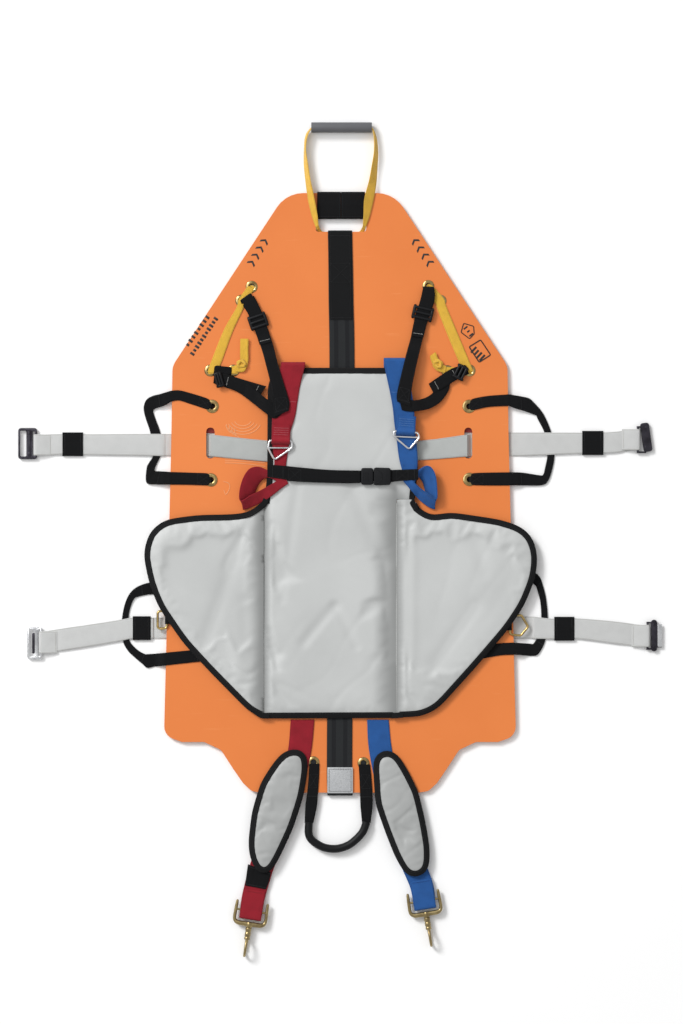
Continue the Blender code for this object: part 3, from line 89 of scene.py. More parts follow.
class Look:
    """A material, with a short way to wire its nodes."""

    def __init__(self, name, roughness, metallic=0.0, sheen=0.0, coat=0.0, specular=0.5):
        self.material = bpy.data.materials.new(name)
        self.material.use_nodes = True
        self.tree = self.material.node_tree
        self.shader = self.tree.nodes["Principled BSDF"]
        self.shader.inputs["Roughness"].default_value = roughness
        self.shader.inputs["Metallic"].default_value = metallic
        self.shader.inputs["Sheen Weight"].default_value = sheen
        self.shader.inputs["Coat Weight"].default_value = coat
        self.shader.inputs["Coat Roughness"].default_value = 0.25
        self.shader.inputs["Specular IOR Level"].default_value = specular
        self.place = self.add("ShaderNodeTexCoord", out="Object")

    def add(self, kind, inputs=(), out=0, **settings):
        node = self.tree.nodes.new(kind)
        for key, setting in settings.items():
            setattr(node, key, setting)
        for key, source in dict(inputs).items():
            if isinstance(source, bpy.types.NodeSocket):
                self.tree.links.new(source, node.inputs[key])
            else:
                node.inputs[key].default_value = source
        return node.outputs[out]

    def math(self, operation, *values):
        return self.add("ShaderNodeMath", enumerate(values), operation=operation)

    def mix(self, share, first, second):
        one, two = ((*c, 1.0) if isinstance(c, tuple) else c for c in (first, second))
        return self.add("ShaderNodeMix", {0: share, 6: one, 7: two}, out=2, data_type="RGBA")

    def clouds(self, scale, detail=4.0, stretch=None):
        where = self.place
        if stretch:
            where = self.add("ShaderNodeMapping", {"Vector": where, "Scale": stretch})
        return self.add("ShaderNodeTexNoise", {"Vector": where, "Scale": scale, "Detail": detail})

    def ramp(self, value, low, high):
        """0 below low, 1 above high."""
        return self.add("ShaderNodeMapRange", {"Value": value, "From Min": low, "From Max": high}, clamp=True)

    def colour(self, source):
        if isinstance(source, tuple):
            self.shader.inputs["Base Color"].default_value = (*source, 1.0)
        else:
            self.tree.links.new(source, self.shader.inputs["Base Color"])
        return self

    def rough(self, source):
        self.tree.links.new(source, self.shader.inputs["Roughness"])
        return self

    def bump(self, height, depth, strength=1.0):
        normal = self.add("ShaderNodeBump", {"Height": height, "Distance": depth * MM, "Strength": strength})
        self.tree.links.new(normal, self.shader.inputs["Normal"])
        return self


def woven(name, rgb, shade=0.55, pitch=1.7, band=4.0, depth=0.30, edge_rgb=None, edge=(0.8, 1.6), sheen=0.25):
    """Webbing: ribs in chevrons along the strap, finer yarns across them, and darker selvedges."""
    look = Look(name, 0.82, sheen=sheen, specular=0.2)
    place = look.add("ShaderNodeAttribute", out="Vector", attribute_name="weave")
    split = look.add("ShaderNodeSeparateXYZ", {0: place}).node
    across, along, inward = split.outputs
    zigzag = look.math("PINGPONG", across, band * MM)
    phase = look.math("MULTIPLY", look.math("ADD", along, zigzag), 2 * pi / (pitch * MM))
    rib = look.math("MULTIPLY_ADD", look.math("SINE", phase), 0.5, 0.5)
    yarn = look.math("MULTIPLY_ADD", look.math("SINE", look.math("MULTIPLY", across, 2 * pi / (0.8 * MM))),
                     0.5, 0.5)
    height = look.math("ADD", rib, look.math("MULTIPLY", yarn, 0.35))
    dark = tuple(c * shade for c in rgb)
    fibre = look.math("ADD", look.math("MULTIPLY", rib, 0.55), look.math("MULTIPLY", look.clouds(60.0), 0.75))
    body = look.mix(look.ramp(fibre, 0.15, 0.85), dark, rgb)
    inner, outer = (look.ramp(inward, e * MM, (e + 0.25) * MM) for e in edge)
    body = look.mix(look.math("SUBTRACT", inner, outer), body, edge_rgb or dark)
    return look.colour(body).bump(height, depth)


def metal(name, rgb, dark, roughness, scale=90.0):
    look = Look(name, roughness, metallic=1.0)
    stain = look.clouds(scale, 6.0)
    look.colour(look.mix(look.ramp(stain, 0.35, 0.7), dark, rgb))
    look.rough(look.math("MULTIPLY_ADD", look.clouds(scale * 4), 0.25, roughness - 0.1))
    return look.bump(look.clouds(900.0, 3.0), 0.05, 0.4)


def plastic(name, rgb, roughness, grain=1400.0, depth=0.05, specular=0.5):
    look = Look(name, roughness, specular=specular)
    look.colour(look.mix(look.clouds(35.0), tuple(c * 0.8 for c in rgb), rgb))
    return look.bump(look.clouds(grain, 2.0), depth, 0.6)


def board_plastic():
    look = Look("board_sheet_plastic", 0.46, specular=0.35)
    bright, deep = tint(237, 135, 68), tint(229, 127, 61)
    tone = look.mix(look.ramp(look.clouds(3.5, 5.0), 0.3, 0.7), deep, bright)
    scratch = look.ramp(look.clouds(14.0, 9.0, (1.0, 14.0, 1.0)), 0.66, 0.72)
    tone = look.mix(look.math("MULTIPLY", scratch, 0.25), tone, tint(246, 160, 98))
    look.colour(tone)
    look.rough(look.math("MULTIPLY_ADD", look.clouds(25.0, 6.0), 0.22, 0.36))
    height = look.math("ADD", look.clouds(700.0, 3.0), look.math("MULTIPLY", scratch, -0.4))
    return look.bump(height, 0.12, 0.5)


FOLD_SHADE = 0.52  # painted shade: how dark the cover's colour is made in its folds


def pad_vinyl(name, level):
    look = Look(name, 0.42, specular=0.45)
    light, dark = (tuple(c * level for c in tone) for tone in (tint(203, 205, 204), tint(190, 192, 191)))
    soil = look.mix(look.ramp(look.clouds(6.0, 6.0), 0.3, 0.75), dark, light)
    # Painted shade: the cover's colour darkens along its sewn folds, by the first number of weave
    fold = look.add("ShaderNodeSeparateXYZ", {0: look.add("ShaderNodeAttribute", out="Vector",
                                                          attribute_name="weave")})
    look.colour(look.mix(fold, soil, tuple(c * FOLD_SHADE for c in dark)))
    look.rough(look.math("MULTIPLY_ADD", look.clouds(30.0, 5.0), 0.2, 0.33))
    pores = look.add("ShaderNodeTexVoronoi", {"Vector": look.place, "Scale": 1100.0})
    height = look.math("ADD", look.math("MULTIPLY", pores, 0.7),
                       look.math("MULTIPLY", look.clouds(260.0, 4.0), 0.8))
    return look.bump(height, 0.14, 0.5)


def reflective(name, rgb):
    """Retro-reflective film, with its cells showing."""
    look = Look(name, 0.32, metallic=0.15)
    cells = look.add("ShaderNodeTexVoronoi", {"Vector": look.place, "Scale": 420.0},
                     feature="DISTANCE_TO_EDGE")
    look.colour(look.mix(look.ramp(cells, 0.02, 0.12), tuple(c * 0.7 for c in rgb), rgb))
    return look.bump(cells, 0.1, 0.5)


BLACK = tint(10, 11, 14)
LOOKS = {
    "board": board_plastic(),
    "vinyl": pad_vinyl("pad_vinyl", 1.0),
    "vinyl_dull": pad_vinyl("leg_pad_vinyl", 0.76),
    "black": woven("black_webbing", BLACK, shade=0.4, sheen=0.03),
    "ribbed": woven("ribbed_black_webbing", tint(42, 44, 46), shade=0.8, pitch=1.6, band=6.0, depth=0.3,
                    edge_rgb=tint(30, 31, 34), edge=(9.0, 17.0), sheen=0.05),
    "binding": woven("black_binding", tint(16, 17, 19), shade=0.5, pitch=1.1, band=30.0, depth=0.2,
                     sheen=0.06),
    "grey": woven("grey_webbing", tint(218, 219, 218), shade=0.86, pitch=2.0, band=21.0, depth=0.35,
                  edge_rgb=tint(176, 176, 170), edge=(1.0, 1.7), sheen=0.1),
    # Painted shade: a darker copy of the grey webbing, for the torso straps' run over the board
    "grey_shaded": woven("grey_webbing_shaded_copy", tint(196, 199, 197), shade=0.84, pitch=2.0, band=21.0,
                       depth=0.35,
                       edge_rgb=tint(166, 168, 162), edge=(1.0, 1.7), sheen=0.05),
    "red": woven("red_webbing", tint(164, 32, 47), shade=0.55, pitch=2.2, band=8.0, depth=0.4, sheen=0.08),
    "blue": woven("blue_webbing", tint(44, 98, 170), shade=0.55, pitch=2.2, band=8.0, depth=0.4, sheen=0.08),
    "yellow": woven("yellow_webbing", tint(250, 198, 70), shade=0.62, pitch=1.5, band=3.0, depth=0.3),
    "patch": reflective("reflective_patch", tint(196, 198, 200)),
    "rubber": plastic("grip_rubber", tint(98, 99, 103), 0.55, 500.0, 0.2),
    "hose": plastic("hose_rubber", tint(17, 18, 20), 0.5, 500.0, 0.2, specular=0.2),
    "plastic": plastic("buckle_plastic", tint(22, 23, 26), 0.44, specular=0.2),
    "anodised": metal("dark_anodised", tint(78, 76, 84), tint(58, 56, 62), 0.36),
    "steel": metal("polished_steel", (0.86, 0.87, 0.88), (0.66, 0.67, 0.69), 0.2),
    "brass": metal("yellow_passivated", (0.66, 0.48, 0.19), (0.36, 0.25, 0.10), 0.26, 60.0),
    "eyelet": metal("eyelet_brass", (0.56, 0.41, 0.17), (0.30, 0.21, 0.09), 0.24, 120.0),
    "bronze": metal("dark_bronze", (0.42, 0.33, 0.16), (0.24, 0.18, 0.09), 0.34, 80.0),
    "print": plastic("printed_mark", tint(38, 34, 32), 0.6),
    "pale_print": plastic("pale_mark", tint(250, 176, 122), 0.5),
    "thread_black": plastic("black_thread", tint(30, 31, 34), 0.7),
    "thread_grey": plastic("grey_thread", tint(214, 214, 210), 0.7),
    "thread_red": plastic("red_thread", tint(150, 34, 46), 0.7),
    "thread_pink": plastic("pale_red_thread", tint(206, 112, 120), 0.7),
    "thread_sky": plastic("pale_blue_thread", tint(96, 140, 200), 0.7),
    # painted shade seen through the board's slots and eyelets
    "slot_shade": plastic("dark_red_slot_shade", tint(138, 42, 40), 0.7),
    "thread_blue": plastic("blue_thread", tint(36, 74, 140), 0.7),
    "thread_dark": plastic("dark_thread", tint(70, 70, 72), 0.7),
}


# Shapes -----------------------------------------------------------------------------------------
# Each is (points, faces, weave). On webbing, weave holds the places across and along it and the distance
# from its edge. On a pad's cover, its first number is the share of painted shade in the folds.
def through(rows, steps):
    """Rows of numbers joined smoothly, each stretch in so many steps."""
    rows = np.array(rows, float)
    if steps == 1:
        return rows
    padded = np.vstack([2 * rows[0] - rows[1], rows, 2 * rows[-1] - rows[-2]])
    out = []
    for a, b, c, d in zip(padded, padded[1:], padded[2:], padded[3:], strict=False):
        for k in range(steps):
            t = k / steps
            bend = (2 * a - 5 * b + 4 * c - d) * t**2
            out.append(0.5 * (2 * b + (c - a) * t + bend + (3 * b - a - 3 * c + d) * t**3))
    out.append(rows[-1])
    return np.array(out)


def eased(values, steps):
    """Heights joined without ever passing beyond either neighbour."""
    out = []
    for low, high in zip(values, values[1:], strict=False):
        out += [low + (high - low) * t * t * (3 - 2 * t) for t in np.arange(steps) / steps]
    return np.array([*out, values[-1]])


def rounded(corners, radius, steps=6):
    """The closed outline with each corner turned into an arc. A corner may name its own radius."""
    out = []
    count = len(corners)
    for i, corner in enumerate(corners):
        r = corner[2] if len(corner) > 2 else radius
        here = Vector(corner[:2])
        before = Vector(corners[i - 1][:2]) - here
        after = Vector(corners[(i + 1) % count][:2]) - here
        half = before.angle(after) / 2
        if r <= 0 or half > radians(88):
            out.append(here)
            continue
        back = min(r / tan(half), 0.49 * before.length, 0.49 * after.length)
        r = back * tan(half)
        centre = here + (before.normalized() + after.normalized()).normalized() * (r / sin(half))
        start = here + before.normalized() * back - centre
        end = here + after.normalized() * back - centre
        turn = atan2(start.x * end.y - start.y * end.x, start.dot(end))
        out += [centre + Matrix.Rotation(turn * k / steps, 2) @ start for k in range(steps + 1)]
    return [(p.x, p.y) for p in out]


def rectangle(x0, x1, y0, y1):
    return [(x0, y0), (x1, y0), (x1, y1), (x0, y1)]


def skin(rings, closed=False, weave=None):
    """A loft through rings of equal length. An open one is capped at both ends."""
    rings = np.array(rings, float)
    count, around = rings.shape[:2]
    faces = []
    for i in range(count if closed else count - 1):
        j = (i + 1) % count
        faces += [(i * around + k, i * around + (k + 1) % around, j * around + (k + 1) % around,
                   j * around + k)
                  for k in range(around)]
    if not closed:
        faces += [tuple(range(around)), tuple(range((count - 1) * around, count * around))]
    points = rings.reshape(-1, 3)
    return points, faces, np.zeros_like(points) if weave is None else np.array(weave, float).reshape(-1, 3)


# Half the outline of webbing: places across it, each with its share of half the thickness
SELVEDGE = [(0, 0.3), (0.012, 0.75), (0.04, 1), (0.22, 1), (0.5, 1), (0.78, 1), (0.96, 1), (0.988, 0.75),
            (1, 0.3)]


class Ribbon:
    """Webbing through stations: x, y of its left and right edge and a height, or x, y, z of both."""

    def __init__(self, stations, steps=6, thick=WEB, sag=0.0):
        rows = [s if len(s) == 6 else (s[0], s[1], s[4], s[2], s[3], s[4]) for s in stations]
        rows = np.array(rows, float)
        plan = through(rows[:, [0, 1, 3, 4]], steps)
        self.left = np.column_stack([plan[:, :2], eased(rows[:, 2], steps)])
        self.right = np.column_stack([plan[:, 2:], eased(rows[:, 5], steps)])
        self.thick, self.sag = thick, sag
        middle = (self.left + self.right) / 2
        normal = np.cross(self.right - self.left, np.gradient(middle, axis=0))
        self.normal = normal / np.linalg.norm(normal, axis=1, keepdims=True)
        if self.normal[np.argmax(middle[:, 2]), 2] < 0:
            self.normal = -self.normal
        self.along = np.concatenate([[0], np.cumsum(np.linalg.norm(np.diff(middle, axis=0), axis=1))])
        self.length = self.along[-1]

    def shape(self):
        rings, weave = [], []
        for a, b, n, v in zip(self.left, self.right, self.normal, self.along, strict=True):
            width = np.linalg.norm(b - a)
            rim = [(s, h) for s, h in SELVEDGE] + [(s, -h) for s, h in reversed(SELVEDGE)]
            rings.append([a + (b - a) * s + n * (h * self.thick / 2 - self.sag * 4 * s * (1 - s))
                          for s, h in rim])
            weave.append([((s - 0.5) * width * MM, v * MM, min(s, 1 - s) * width * MM) for s, _ in rim])
        return skin(rings, weave=weave)

    def at(self, along, across, lift=0.0):
        """A point on the upper face, and the direction out of it. across runs from -1 to 1."""
        pick = lambda rows: np.array([np.interp(along, self.along, rows[:, k]) for k in range(3)])
        a, b, n = pick(self.left), pick(self.right), pick(self.normal)
        return a + (b - a) * (across + 1) / 2 + n * (self.thick / 2 + lift), n


def at_height(z, *places):
    """Stations of webbing that lie at one height."""
    return [(*place, z) for place in places]


def folded(axis, outward, half_width, tail, tail_z, radius=FOLD):
    """A strap end folded round a bar: from under the bar, round its outer side, and back over it."""
    out = Vector((*outward, 0.0))
    across = Vector((outward[1], -outward[0], 0.0)) * half_width
    axis = Vector(axis)
    rows = [axis + out * radius * cos(radians(a)) + Vector((0, 0,
                                                            radius * sin(radians(a)))) for a in range(-90,
                                                                91, 15)]
    rows.insert(0, rows[0] - out * 3)
    rows.append(rows[-1] - out * 5)
    rows.append(Vector((*(axis - out * tail).xy, tail_z)))
    return Ribbon([(*(p - across), *(p + across)) for p in rows], steps=1)


def tube(points, radius, closed=False, sides=16, smooth=1):
    """A round bar along the points. radius may be a list, one for each point."""
    points = np.array(points, float)
    radii = np.full(len(points), radius, float) if np.isscalar(radius) else np.array(radius, float)
    if smooth > 1:
        rows = np.column_stack([points, radii])
        if closed:
            rows = np.vstack([rows[-2:], rows, rows[:2]])
            rows = through(rows, smooth)[2 * smooth:-smooth - 1]
        else:
            rows = through(rows, smooth)
        points, radii = rows[:, :3], rows[:, 3]
    count = len(points)
    if closed:
        tangent = np.roll(points, -1, axis=0) - np.roll(points, 1, axis=0)
    else:
        tangent = np.gradient(points, axis=0)
    tangent /= np.linalg.norm(tangent, axis=1, keepdims=True)
    side = np.cross(tangent[0], (0, 0, 1) if abs(tangent[0][2]) < 0.9 else (1, 0, 0))
    rings, weave, along = [], [], 0.0
    for i in range(count):
        side = side - tangent[i] * side.dot(tangent[i])
        side /= np.linalg.norm(side)
        other = np.cross(tangent[i], side)
        if i:
            along += np.linalg.norm(points[i] - points[i - 1])
        turns = np.arange(sides) * 2 * pi / sides
        rings.append([points[i] + radii[i] * (cos(t) * side + sin(t) * other) for t in turns])
        weave.append([(t * radii[i] * MM, along * MM, 0.02) for t in turns])
    return skin(rings, closed, weave)


def clockwise(outline):
    x, y = outline.T
    return np.sum(x * np.roll(y, -1) - y * np.roll(x, -1)) < 0


def plate(outline, low, high, rim=0.6):
    """A plate with softly rounded upper and lower rims."""
    outline = np.array(outline, float)
    if clockwise(outline):
        outline = outline[::-1]
    edge = np.roll(outline, -1, axis=0) - outline
    edge /= np.maximum(np.linalg.norm(edge, axis=1, keepdims=True), 1e-9)
    before = np.roll(edge, 1, axis=0)
    bisector = np.column_stack([-edge[:, 1], edge[:, 0]]) + np.column_stack([-before[:, 1], before[:, 0]])
    inward = bisector / np.maximum(np.linalg.norm(bisector, axis=1, keepdims=True), 1e-9)
    rings = []
    for inset, z in ((1, low), (0.3, low + 0.3 * rim), (0, low + rim), (0, high - rim),
                     (0.3, high - 0.3 * rim), (1, high)):
        rings.append(np.column_stack([outline + inward * inset * rim, np.full(len(outline), z)]))
    return skin(rings)


def block(x, y, z, turn=0.0, corner=1.2, rim=0.5):
    """A plate on a rectangle, turned in plan about its middle by an angle in degrees."""
    middle = Vector(((x[0] + x[1]) / 2, (y[0] + y[1]) / 2))
    spin = Matrix.Rotation(radians(turn), 2)
    corners = [spin @ (Vector(c) - middle) + middle for c in rectangle(*x, *y)]
    return plate(rounded([tuple(c) for c in corners], corner, 4), z[0], z[1], rim)


def thread(start, end, up, width=0.8, height=0.5):
    """One stitch, a small spindle lying between two points."""
    start, end, up = (np.array(v, float) for v in (start, end, up))
    side = np.cross(end - start, up)
    side /= max(np.linalg.norm(side), 1e-9)
    rings = []
    for share, size in ((0, 0.25), (0.2, 0.9), (0.5, 1), (0.8, 0.9), (1, 0.25)):
        middle = start + (end - start) * share + up * height * 0.4 * size
        half = side * width / 2 * size
        rings.append([middle + half, middle + up * height * size, middle - half, middle - up * 0.4 * size])
    return skin(rings)


def seam(strap, start, end, pitch=3.2, fill=0.72, width=0.8, height=0.5):
    """Stitches on a strap between two places, each given as along and across."""
    (a0, c0), (a1, c1) = start, end
    first, last = strap.at(a0, c0)[0], strap.at(a1, c1)[0]
    count = max(1, int(np.linalg.norm(last - first) / pitch))
    out = []
    for k in range(count):
        spots = []
        for t in ((k + 0.5 - fill / 2) / count, (k + 0.5 + fill / 2) / count):
            spots.append(strap.at(a0 + (a1 - a0) * t, c0 + (c1 - c0) * t))
        out.append(thread(spots[0][0], spots[1][0], spots[0][1], width, height))
    return out


def box_seam(strap, start, end, across=0.84, cross=True, **options):
    """A sewn rectangle with its diagonals."""
    corners = [(start, -across), (end, -across), (end, across), (start, across)]
    pairs = list(zip(corners, corners[1:] + corners[:1], strict=True))
    if cross:
        pairs += [(corners[0], corners[2]), (corners[1], corners[3])]
    return [s for one, two in pairs for s in seam(strap, one, two, **options)]


def edge_seams(strap, start, end, across=0.86, **options):
    """A row of stitches along each edge, beginning and ending so far from the strap's ends."""
    return [s for c in (-across, across) for s in seam(strap, (start, c), (strap.length - end, c), **options)]


def bartack(strap, along, across=0.86, depth=2.2, pitch=1.1, width=0.7):
    """A dense zigzag across the strap."""
    reach = np.linalg.norm(strap.at(along, across)[0] - strap.at(along, -across)[0])
    count = int(reach / pitch)
    out = []
    for k in range(count):
        c0, c1 = (-across + 2 * across * t / count for t in (k, k + 0.9))
        a0, a1 = (along - depth / 2, along + depth / 2) if k % 2 else (along + depth / 2, along - depth / 2)
        (p, up), (q, _) = strap.at(a0, c0), strap.at(a1, c1)
        out.append(thread(p, q, up, width, 0.45))
    return out


def piece(name, body, slot, look, shapes, replaces=(), crease=50):
    """One object from shapes or straps, riding on a body."""
    shapes = [s.shape() if isinstance(s, Ribbon) else s for s in shapes]
    points, faces, weave, base = [], [], [], 0
    for p, f, w in shapes:
        points.append(p)
        weave.append(w)
        faces += [tuple(base + i for i in face) for face in f]
        base += len(p)
    mesh = bpy.data.meshes.new(name)
    mesh.from_pydata((np.vstack(points) * MM).tolist(), [], faces)
    mesh.attributes.new("weave", "FLOAT_VECTOR", "POINT").data.foreach_set("vector",
        np.vstack(weave).astype(np.float32).ravel())
    bm = bmesh.new()
    bm.from_mesh(mesh)
    bmesh.ops.recalc_face_normals(bm, faces=bm.faces)
    bm.to_mesh(mesh)
    bm.free()
    return dress(bpy.data.objects.new(name, mesh), body, look, replaces, crease)


def dress(obj, body, look, replaces=(), crease=50):
    bpy.context.scene.collection.objects.link(obj)
    obj.data.materials.clear()
    obj.data.materials.append(LOOKS[look].material)
    obj.data.shade_smooth()
    obj.data.set_sharp_from_angle(angle=radians(crease))
    if body:
        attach(obj, body)
    if replaces:
        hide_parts(*replaces)
    return obj


def black(name, body, shapes, *options, **more):
    """Plain black webbing."""
    return piece(name, body, "black_webbing", "black", shapes, *options, **more)


def black_stitches(name, body, shapes):
    return piece(name, body, "black_webbing", "thread_black", shapes)


def refined(node, body, look, rim=0.5, crease=40):
    """A copy of a hard part with its edges broken, standing for it."""
    bm = bmesh.new()
    bm.from_mesh(NODES[node].data)
    bmesh.ops.remove_doubles(bm, verts=bm.verts, dist=0.00001)
    bmesh.ops.dissolve_limit(bm, angle_limit=radians(2), verts=bm.verts, edges=bm.edges)
    sharp = [e for e in bm.edges if e.is_manifold and e.calc_face_angle(0) > radians(40)]
    bmesh.ops.bevel(bm, geom=sharp, offset=rim * MM, segments=2, profile=0.6, affect="EDGES",
                    clamp_overlap=True)
    mesh = bpy.data.meshes.new(node + "_shell")
    bm.to_mesh(mesh)
    bm.free()
    return dress(bpy.data.objects.new(node + "_shell", mesh), body, look, [node], crease)


# Board ------------------------------------------------------------------------------------------
NODES["board_sheet"].data.materials.clear()
NODES["board_sheet"].data.materials.append(LOOKS["board"].material)

UPPER_EYELETS = [(-167.6, 480.1), (-187.3, 453.5), (-246, 321.1), (-202.2, 321.1), (167.6, 481.5),
                 (190.9, 453.5), (246, 321.3), (203.9, 320)]
SIDE_EYELETS = [(-242.6, 253.1), (-245.1, 113.4), (245.1, 253.1), (246, 114.4), (-256, -84), (-256, -218),
                (262, -66), (262, -216)]
FOOT_EYELETS = [(-50.3, -422.4), (44.6, -424.1)]


def eyelet(x, y, outer, hole):
    """A pressed grommet: a rolled flange on each face of the board and the barrel between."""
    top = [(hole - 0.9, BOARD_BOTTOM - 0.3), (hole - 1.3, BOARD_BOTTOM + 1), (hole - 1.3, BOARD_TOP - 0.6),
           (hole - 0.5, BOARD_TOP + 1.1), (hole + 1.2, BOARD_TOP + 1.9), (outer * 0.8, BOARD_TOP + 1.5),
           (outer - 0.6, BOARD_TOP + 0.9), (outer, BOARD_TOP + 0.1), (outer - 0.8, BOARD_TOP - 0.1),
           (hole + 0.4, BOARD_TOP + 0.3), (hole - 0.4, BOARD_TOP - 1.2), (hole - 0.4, BOARD_BOTTOM + 0.8),
           (hole + 0.4, BOARD_BOTTOM - 0.2), (outer - 1.5, BOARD_BOTTOM - 0.1),
           (outer - 1.5, BOARD_BOTTOM - 0.9), (hole, BOARD_BOTTOM - 1.1)]
    rings = []
    for k in range(40):
        t = 2 * pi * k / 40
        rings.append([(x + r * cos(t), y + r * sin(t), z) for r, z in top])
    return skin(rings, closed=True)


EYELET_HOLE = 6.2
for row, outer, spots in (("upper", 11.5, UPPER_EYELETS), ("side", 13.0, SIDE_EYELETS),
                          ("foot", 11.5, FOOT_EYELETS)):
    piece(f"{row}_eyelets", "board", "brass", "eyelet", [eyelet(x, y, outer, EYELET_HOLE) for x, y in spots],
          crease=35)

# Plain printed marks in place of words
MARK = (BOARD_TOP + 0.02, BOARD_TOP + 0.14)


def outline_mark(corners, line):
    """A closed printed line along the corners."""
    return [tube([(x, y, MARK[0]) for x, y in rounded(corners, 2, 2)], line, closed=True, sides=6)]


def heading(start, end):
    """Both places as vectors, the direction between them and the one across it."""
    start, end = Vector(start), Vector(end)
    along = (end - start).normalized()
    return start, end, along, Vector((-along.y, along.x))


def bar_marks(start, end, count, width, lengths):
    """Printed bars side by side from start to end."""
    start, end, along, across = heading(start, end)
    out = []
    for k in range(count):
        middle = start.lerp(end, k / max(1, count - 1))
        reach = lengths[k % len(lengths)]
        corners = [middle + along * a * width / 2 + across * b * reach / 2
                   for a, b in rectangle(-1, 1, -1, 1)]
        out.append(plate([tuple(c) for c in corners], *MARK, 0.03))
    return out


def chevrons(start, end, count, width, reach):
    """Arrowheads one after another, pointing from start to end."""
    start, end, along, across = heading(start, end)
    out = []
    for k in range(count):
        tip = start.lerp(end, k / (count - 1))
        for s in (-1, 1):
            side = tip + across * s * reach
            corners = [tip, side - along * reach * 0.7, side - along * (reach * 0.7 + width),
                       tip - along * width]
            out.append(plate([tuple(c) for c in (corners if s > 0 else corners[::-1])], *MARK, 0.03))
    return out


marks = chevrons((-165.3, 529.5), (-140.6, 570.4), 4, 4.4, 8)
marks += chevrons((167.2, 529.5), (139.7, 570.4), 4, 4.4, 8)
marks += bar_marks((-235.6, 419.3), (-280.2, 352.8), 11, 4.6, [9, 7, 9, 9, 6])
marks += bar_marks((-251.8, 422.2), (-288.8, 369.9), 8, 4.6, [9, 8, 9, 6])
marks += outline_mark([(229.9, 393.7), (234.6, 410.8), (253.6, 405.1), (254.6, 390.8), (246, 381.3)], 1.0)
marks += outline_mark([(245.1, 366.1), (266.9, 379.4), (285.9, 350.9), (264.1, 336.7)], 1.2)
marks += bar_marks((253.6, 360.4), (269.8, 345.2), 4, 4.2, [15, 12, 14])
marks += bar_marks((238.4, 402.2), (248.9, 388.9), 3, 3.2, [9, 6])
piece("board_print", "board", "board_plastic", "print", marks)

contours = []
for k in range(4):
    reach = 9 + 3.4 * k
    arc = [(-184.3, 225.5, reach, t) for t in np.radians(np.linspace(205, 335, 22))]
    contours.append(tube([(x + r * 1.9 * cos(t), y + r * 1.6 * sin(t) + 5, MARK[0]) for x, y, r, t in arc],
                         0.7, sides=6))
for k in range(4):
    lean = [(-214.7, 219.8, t) for t in np.linspace(0, 1, 14)]
    contours.append(tube([(x + 5.2 * k + 10 * t - 5 * sin(2.6 * t), y - 3 * k - 17 * t, MARK[0])
                          for x, y, t in lean], 0.7, sides=6))
for k in range(4):
    sweep = [(-218.5, 145.7, t) for t in np.linspace(0, 1, 18)]
    contours.append(tube([(x + 76 * t, y + 4 * k - (7 - 3 * k) * t * t, MARK[0]) for x, y, t in sweep], 0.7,
                         sides=6))
curl = [(-221.3, 110.6, MARK[0]), (-210.9, 106.8, MARK[0]), (-209.9, 96.3, MARK[0]), (-216.6, 85.9, MARK[0]),
        (-220.4, 94.4, MARK[0])]
contours.append(tube(curl, 0.7, sides=6, smooth=5))
piece("board_contour_art", "board", "board_plastic", "pale_print", contours)

# Head end: bar wrap, drag handle ------------------------------------------------------------------
wrap = []
for x0, x1 in ((-43.4, 1.75), (2.05, 47.2)):
    profile = rounded(rectangle(608.9, 660.4, 0.5, BOARD_TOP + 2.2), 2.2, 4)
    inner = rounded(rectangle(611.2, 658.0, 2.2, BOARD_TOP + 0.4), 0.8, 4)
    rings, weave = [], []
    for k, (outer, hollow) in enumerate(zip(profile, inner, strict=True)):
        low, high = ((x, *outer) for x in (x0, x1))
        near, far = ((x, *hollow) for x in (x1, x0))
        rings.append([low, (x0 + 0.5, outer[0], outer[1]), (x1 - 0.5, outer[0], outer[1]), high, near, far])
        weave.append([(x * MM, k * 2.4 * MM, 0.01) for x in (x0, x0 + 0.5, x1 - 0.5, x1, x1, x0)])
    wrap.append(skin(rings, closed=True, weave=weave))
piece("head_bar_webbing", "board", "head_wrap_plastic", "black", wrap, ["head_bar_wrap"])
lashing = [thread((x, y, BOARD_TOP + 2.2), (x + 1.2, y + 3.0, BOARD_TOP + 2.2), (0, 0, 1)) for x in (-1.6,
    4.2) for y in np.arange(612, 656, 4.2)]
lashing += [thread((x, y, BOARD_TOP + 2.2), (x + 3.0, y, BOARD_TOP + 2.2), (0, 0, 1)) for y in (613,
    656.5) for x in np.arange(-40, 43, 4.2)]
black_stitches("head_bar_stitching", "board", lashing)

GRIP_Y = 782.2
HANDLE_LEFT = [(-45.6, GRIP_Y, GRIP_Z - 5.5, -45.6, GRIP_Y, GRIP_Z + 5.5),
               (-54.1, 782.6, 4.2, -54.1, 779.2, 15.4), (-65.4, 767, 2.0, -61.9, 765.1, 17),
               (-68, 740.4, 1.5, -65, 740.4, 18), (-68.4, 711.9, 2.0, -60.8, 711.9, 17),
               (-65.5, 681.5, 4.6, -56, 681.5, 17.5), (-62.7, 658.7, 9.8, -51.3, 660.6, 19.5),
               (-59.8, 639.7, 9.8, -47.5, 641.6, 19), (-53.2, 613.1, 9.8, -42.9, 616.9, 16),
               (-46.7, 594.1, 9.8, -40.7, 597.2, 12.4)]
HANDLE_RIGHT = [(51.3, GRIP_Y, GRIP_Z - 5.5, 51.3, GRIP_Y, GRIP_Z + 5.5),
                (60.8, 782.6, 4.2, 60.8, 779.2, 15.4), (69.3, 763.2, 2.0, 64.6, 761.3, 17),
                (72.2, 736.6, 1.5, 64.6, 736.6, 18), (71.4, 711.9, 2.0, 60.8, 711.9, 17),
                (69.5, 681.5, 4.6, 55.1, 681.5, 17.5), (66.5, 658.7, 9.8, 49.4, 660.6, 19.5),
                (62.7, 639.7, 9.8, 45.6, 641.6, 19), (56.2, 613.1, 9.8, 44.8, 616.9, 16),
                (49.4, 594.1, 9.8, 43.3, 597.2, 12.4)]
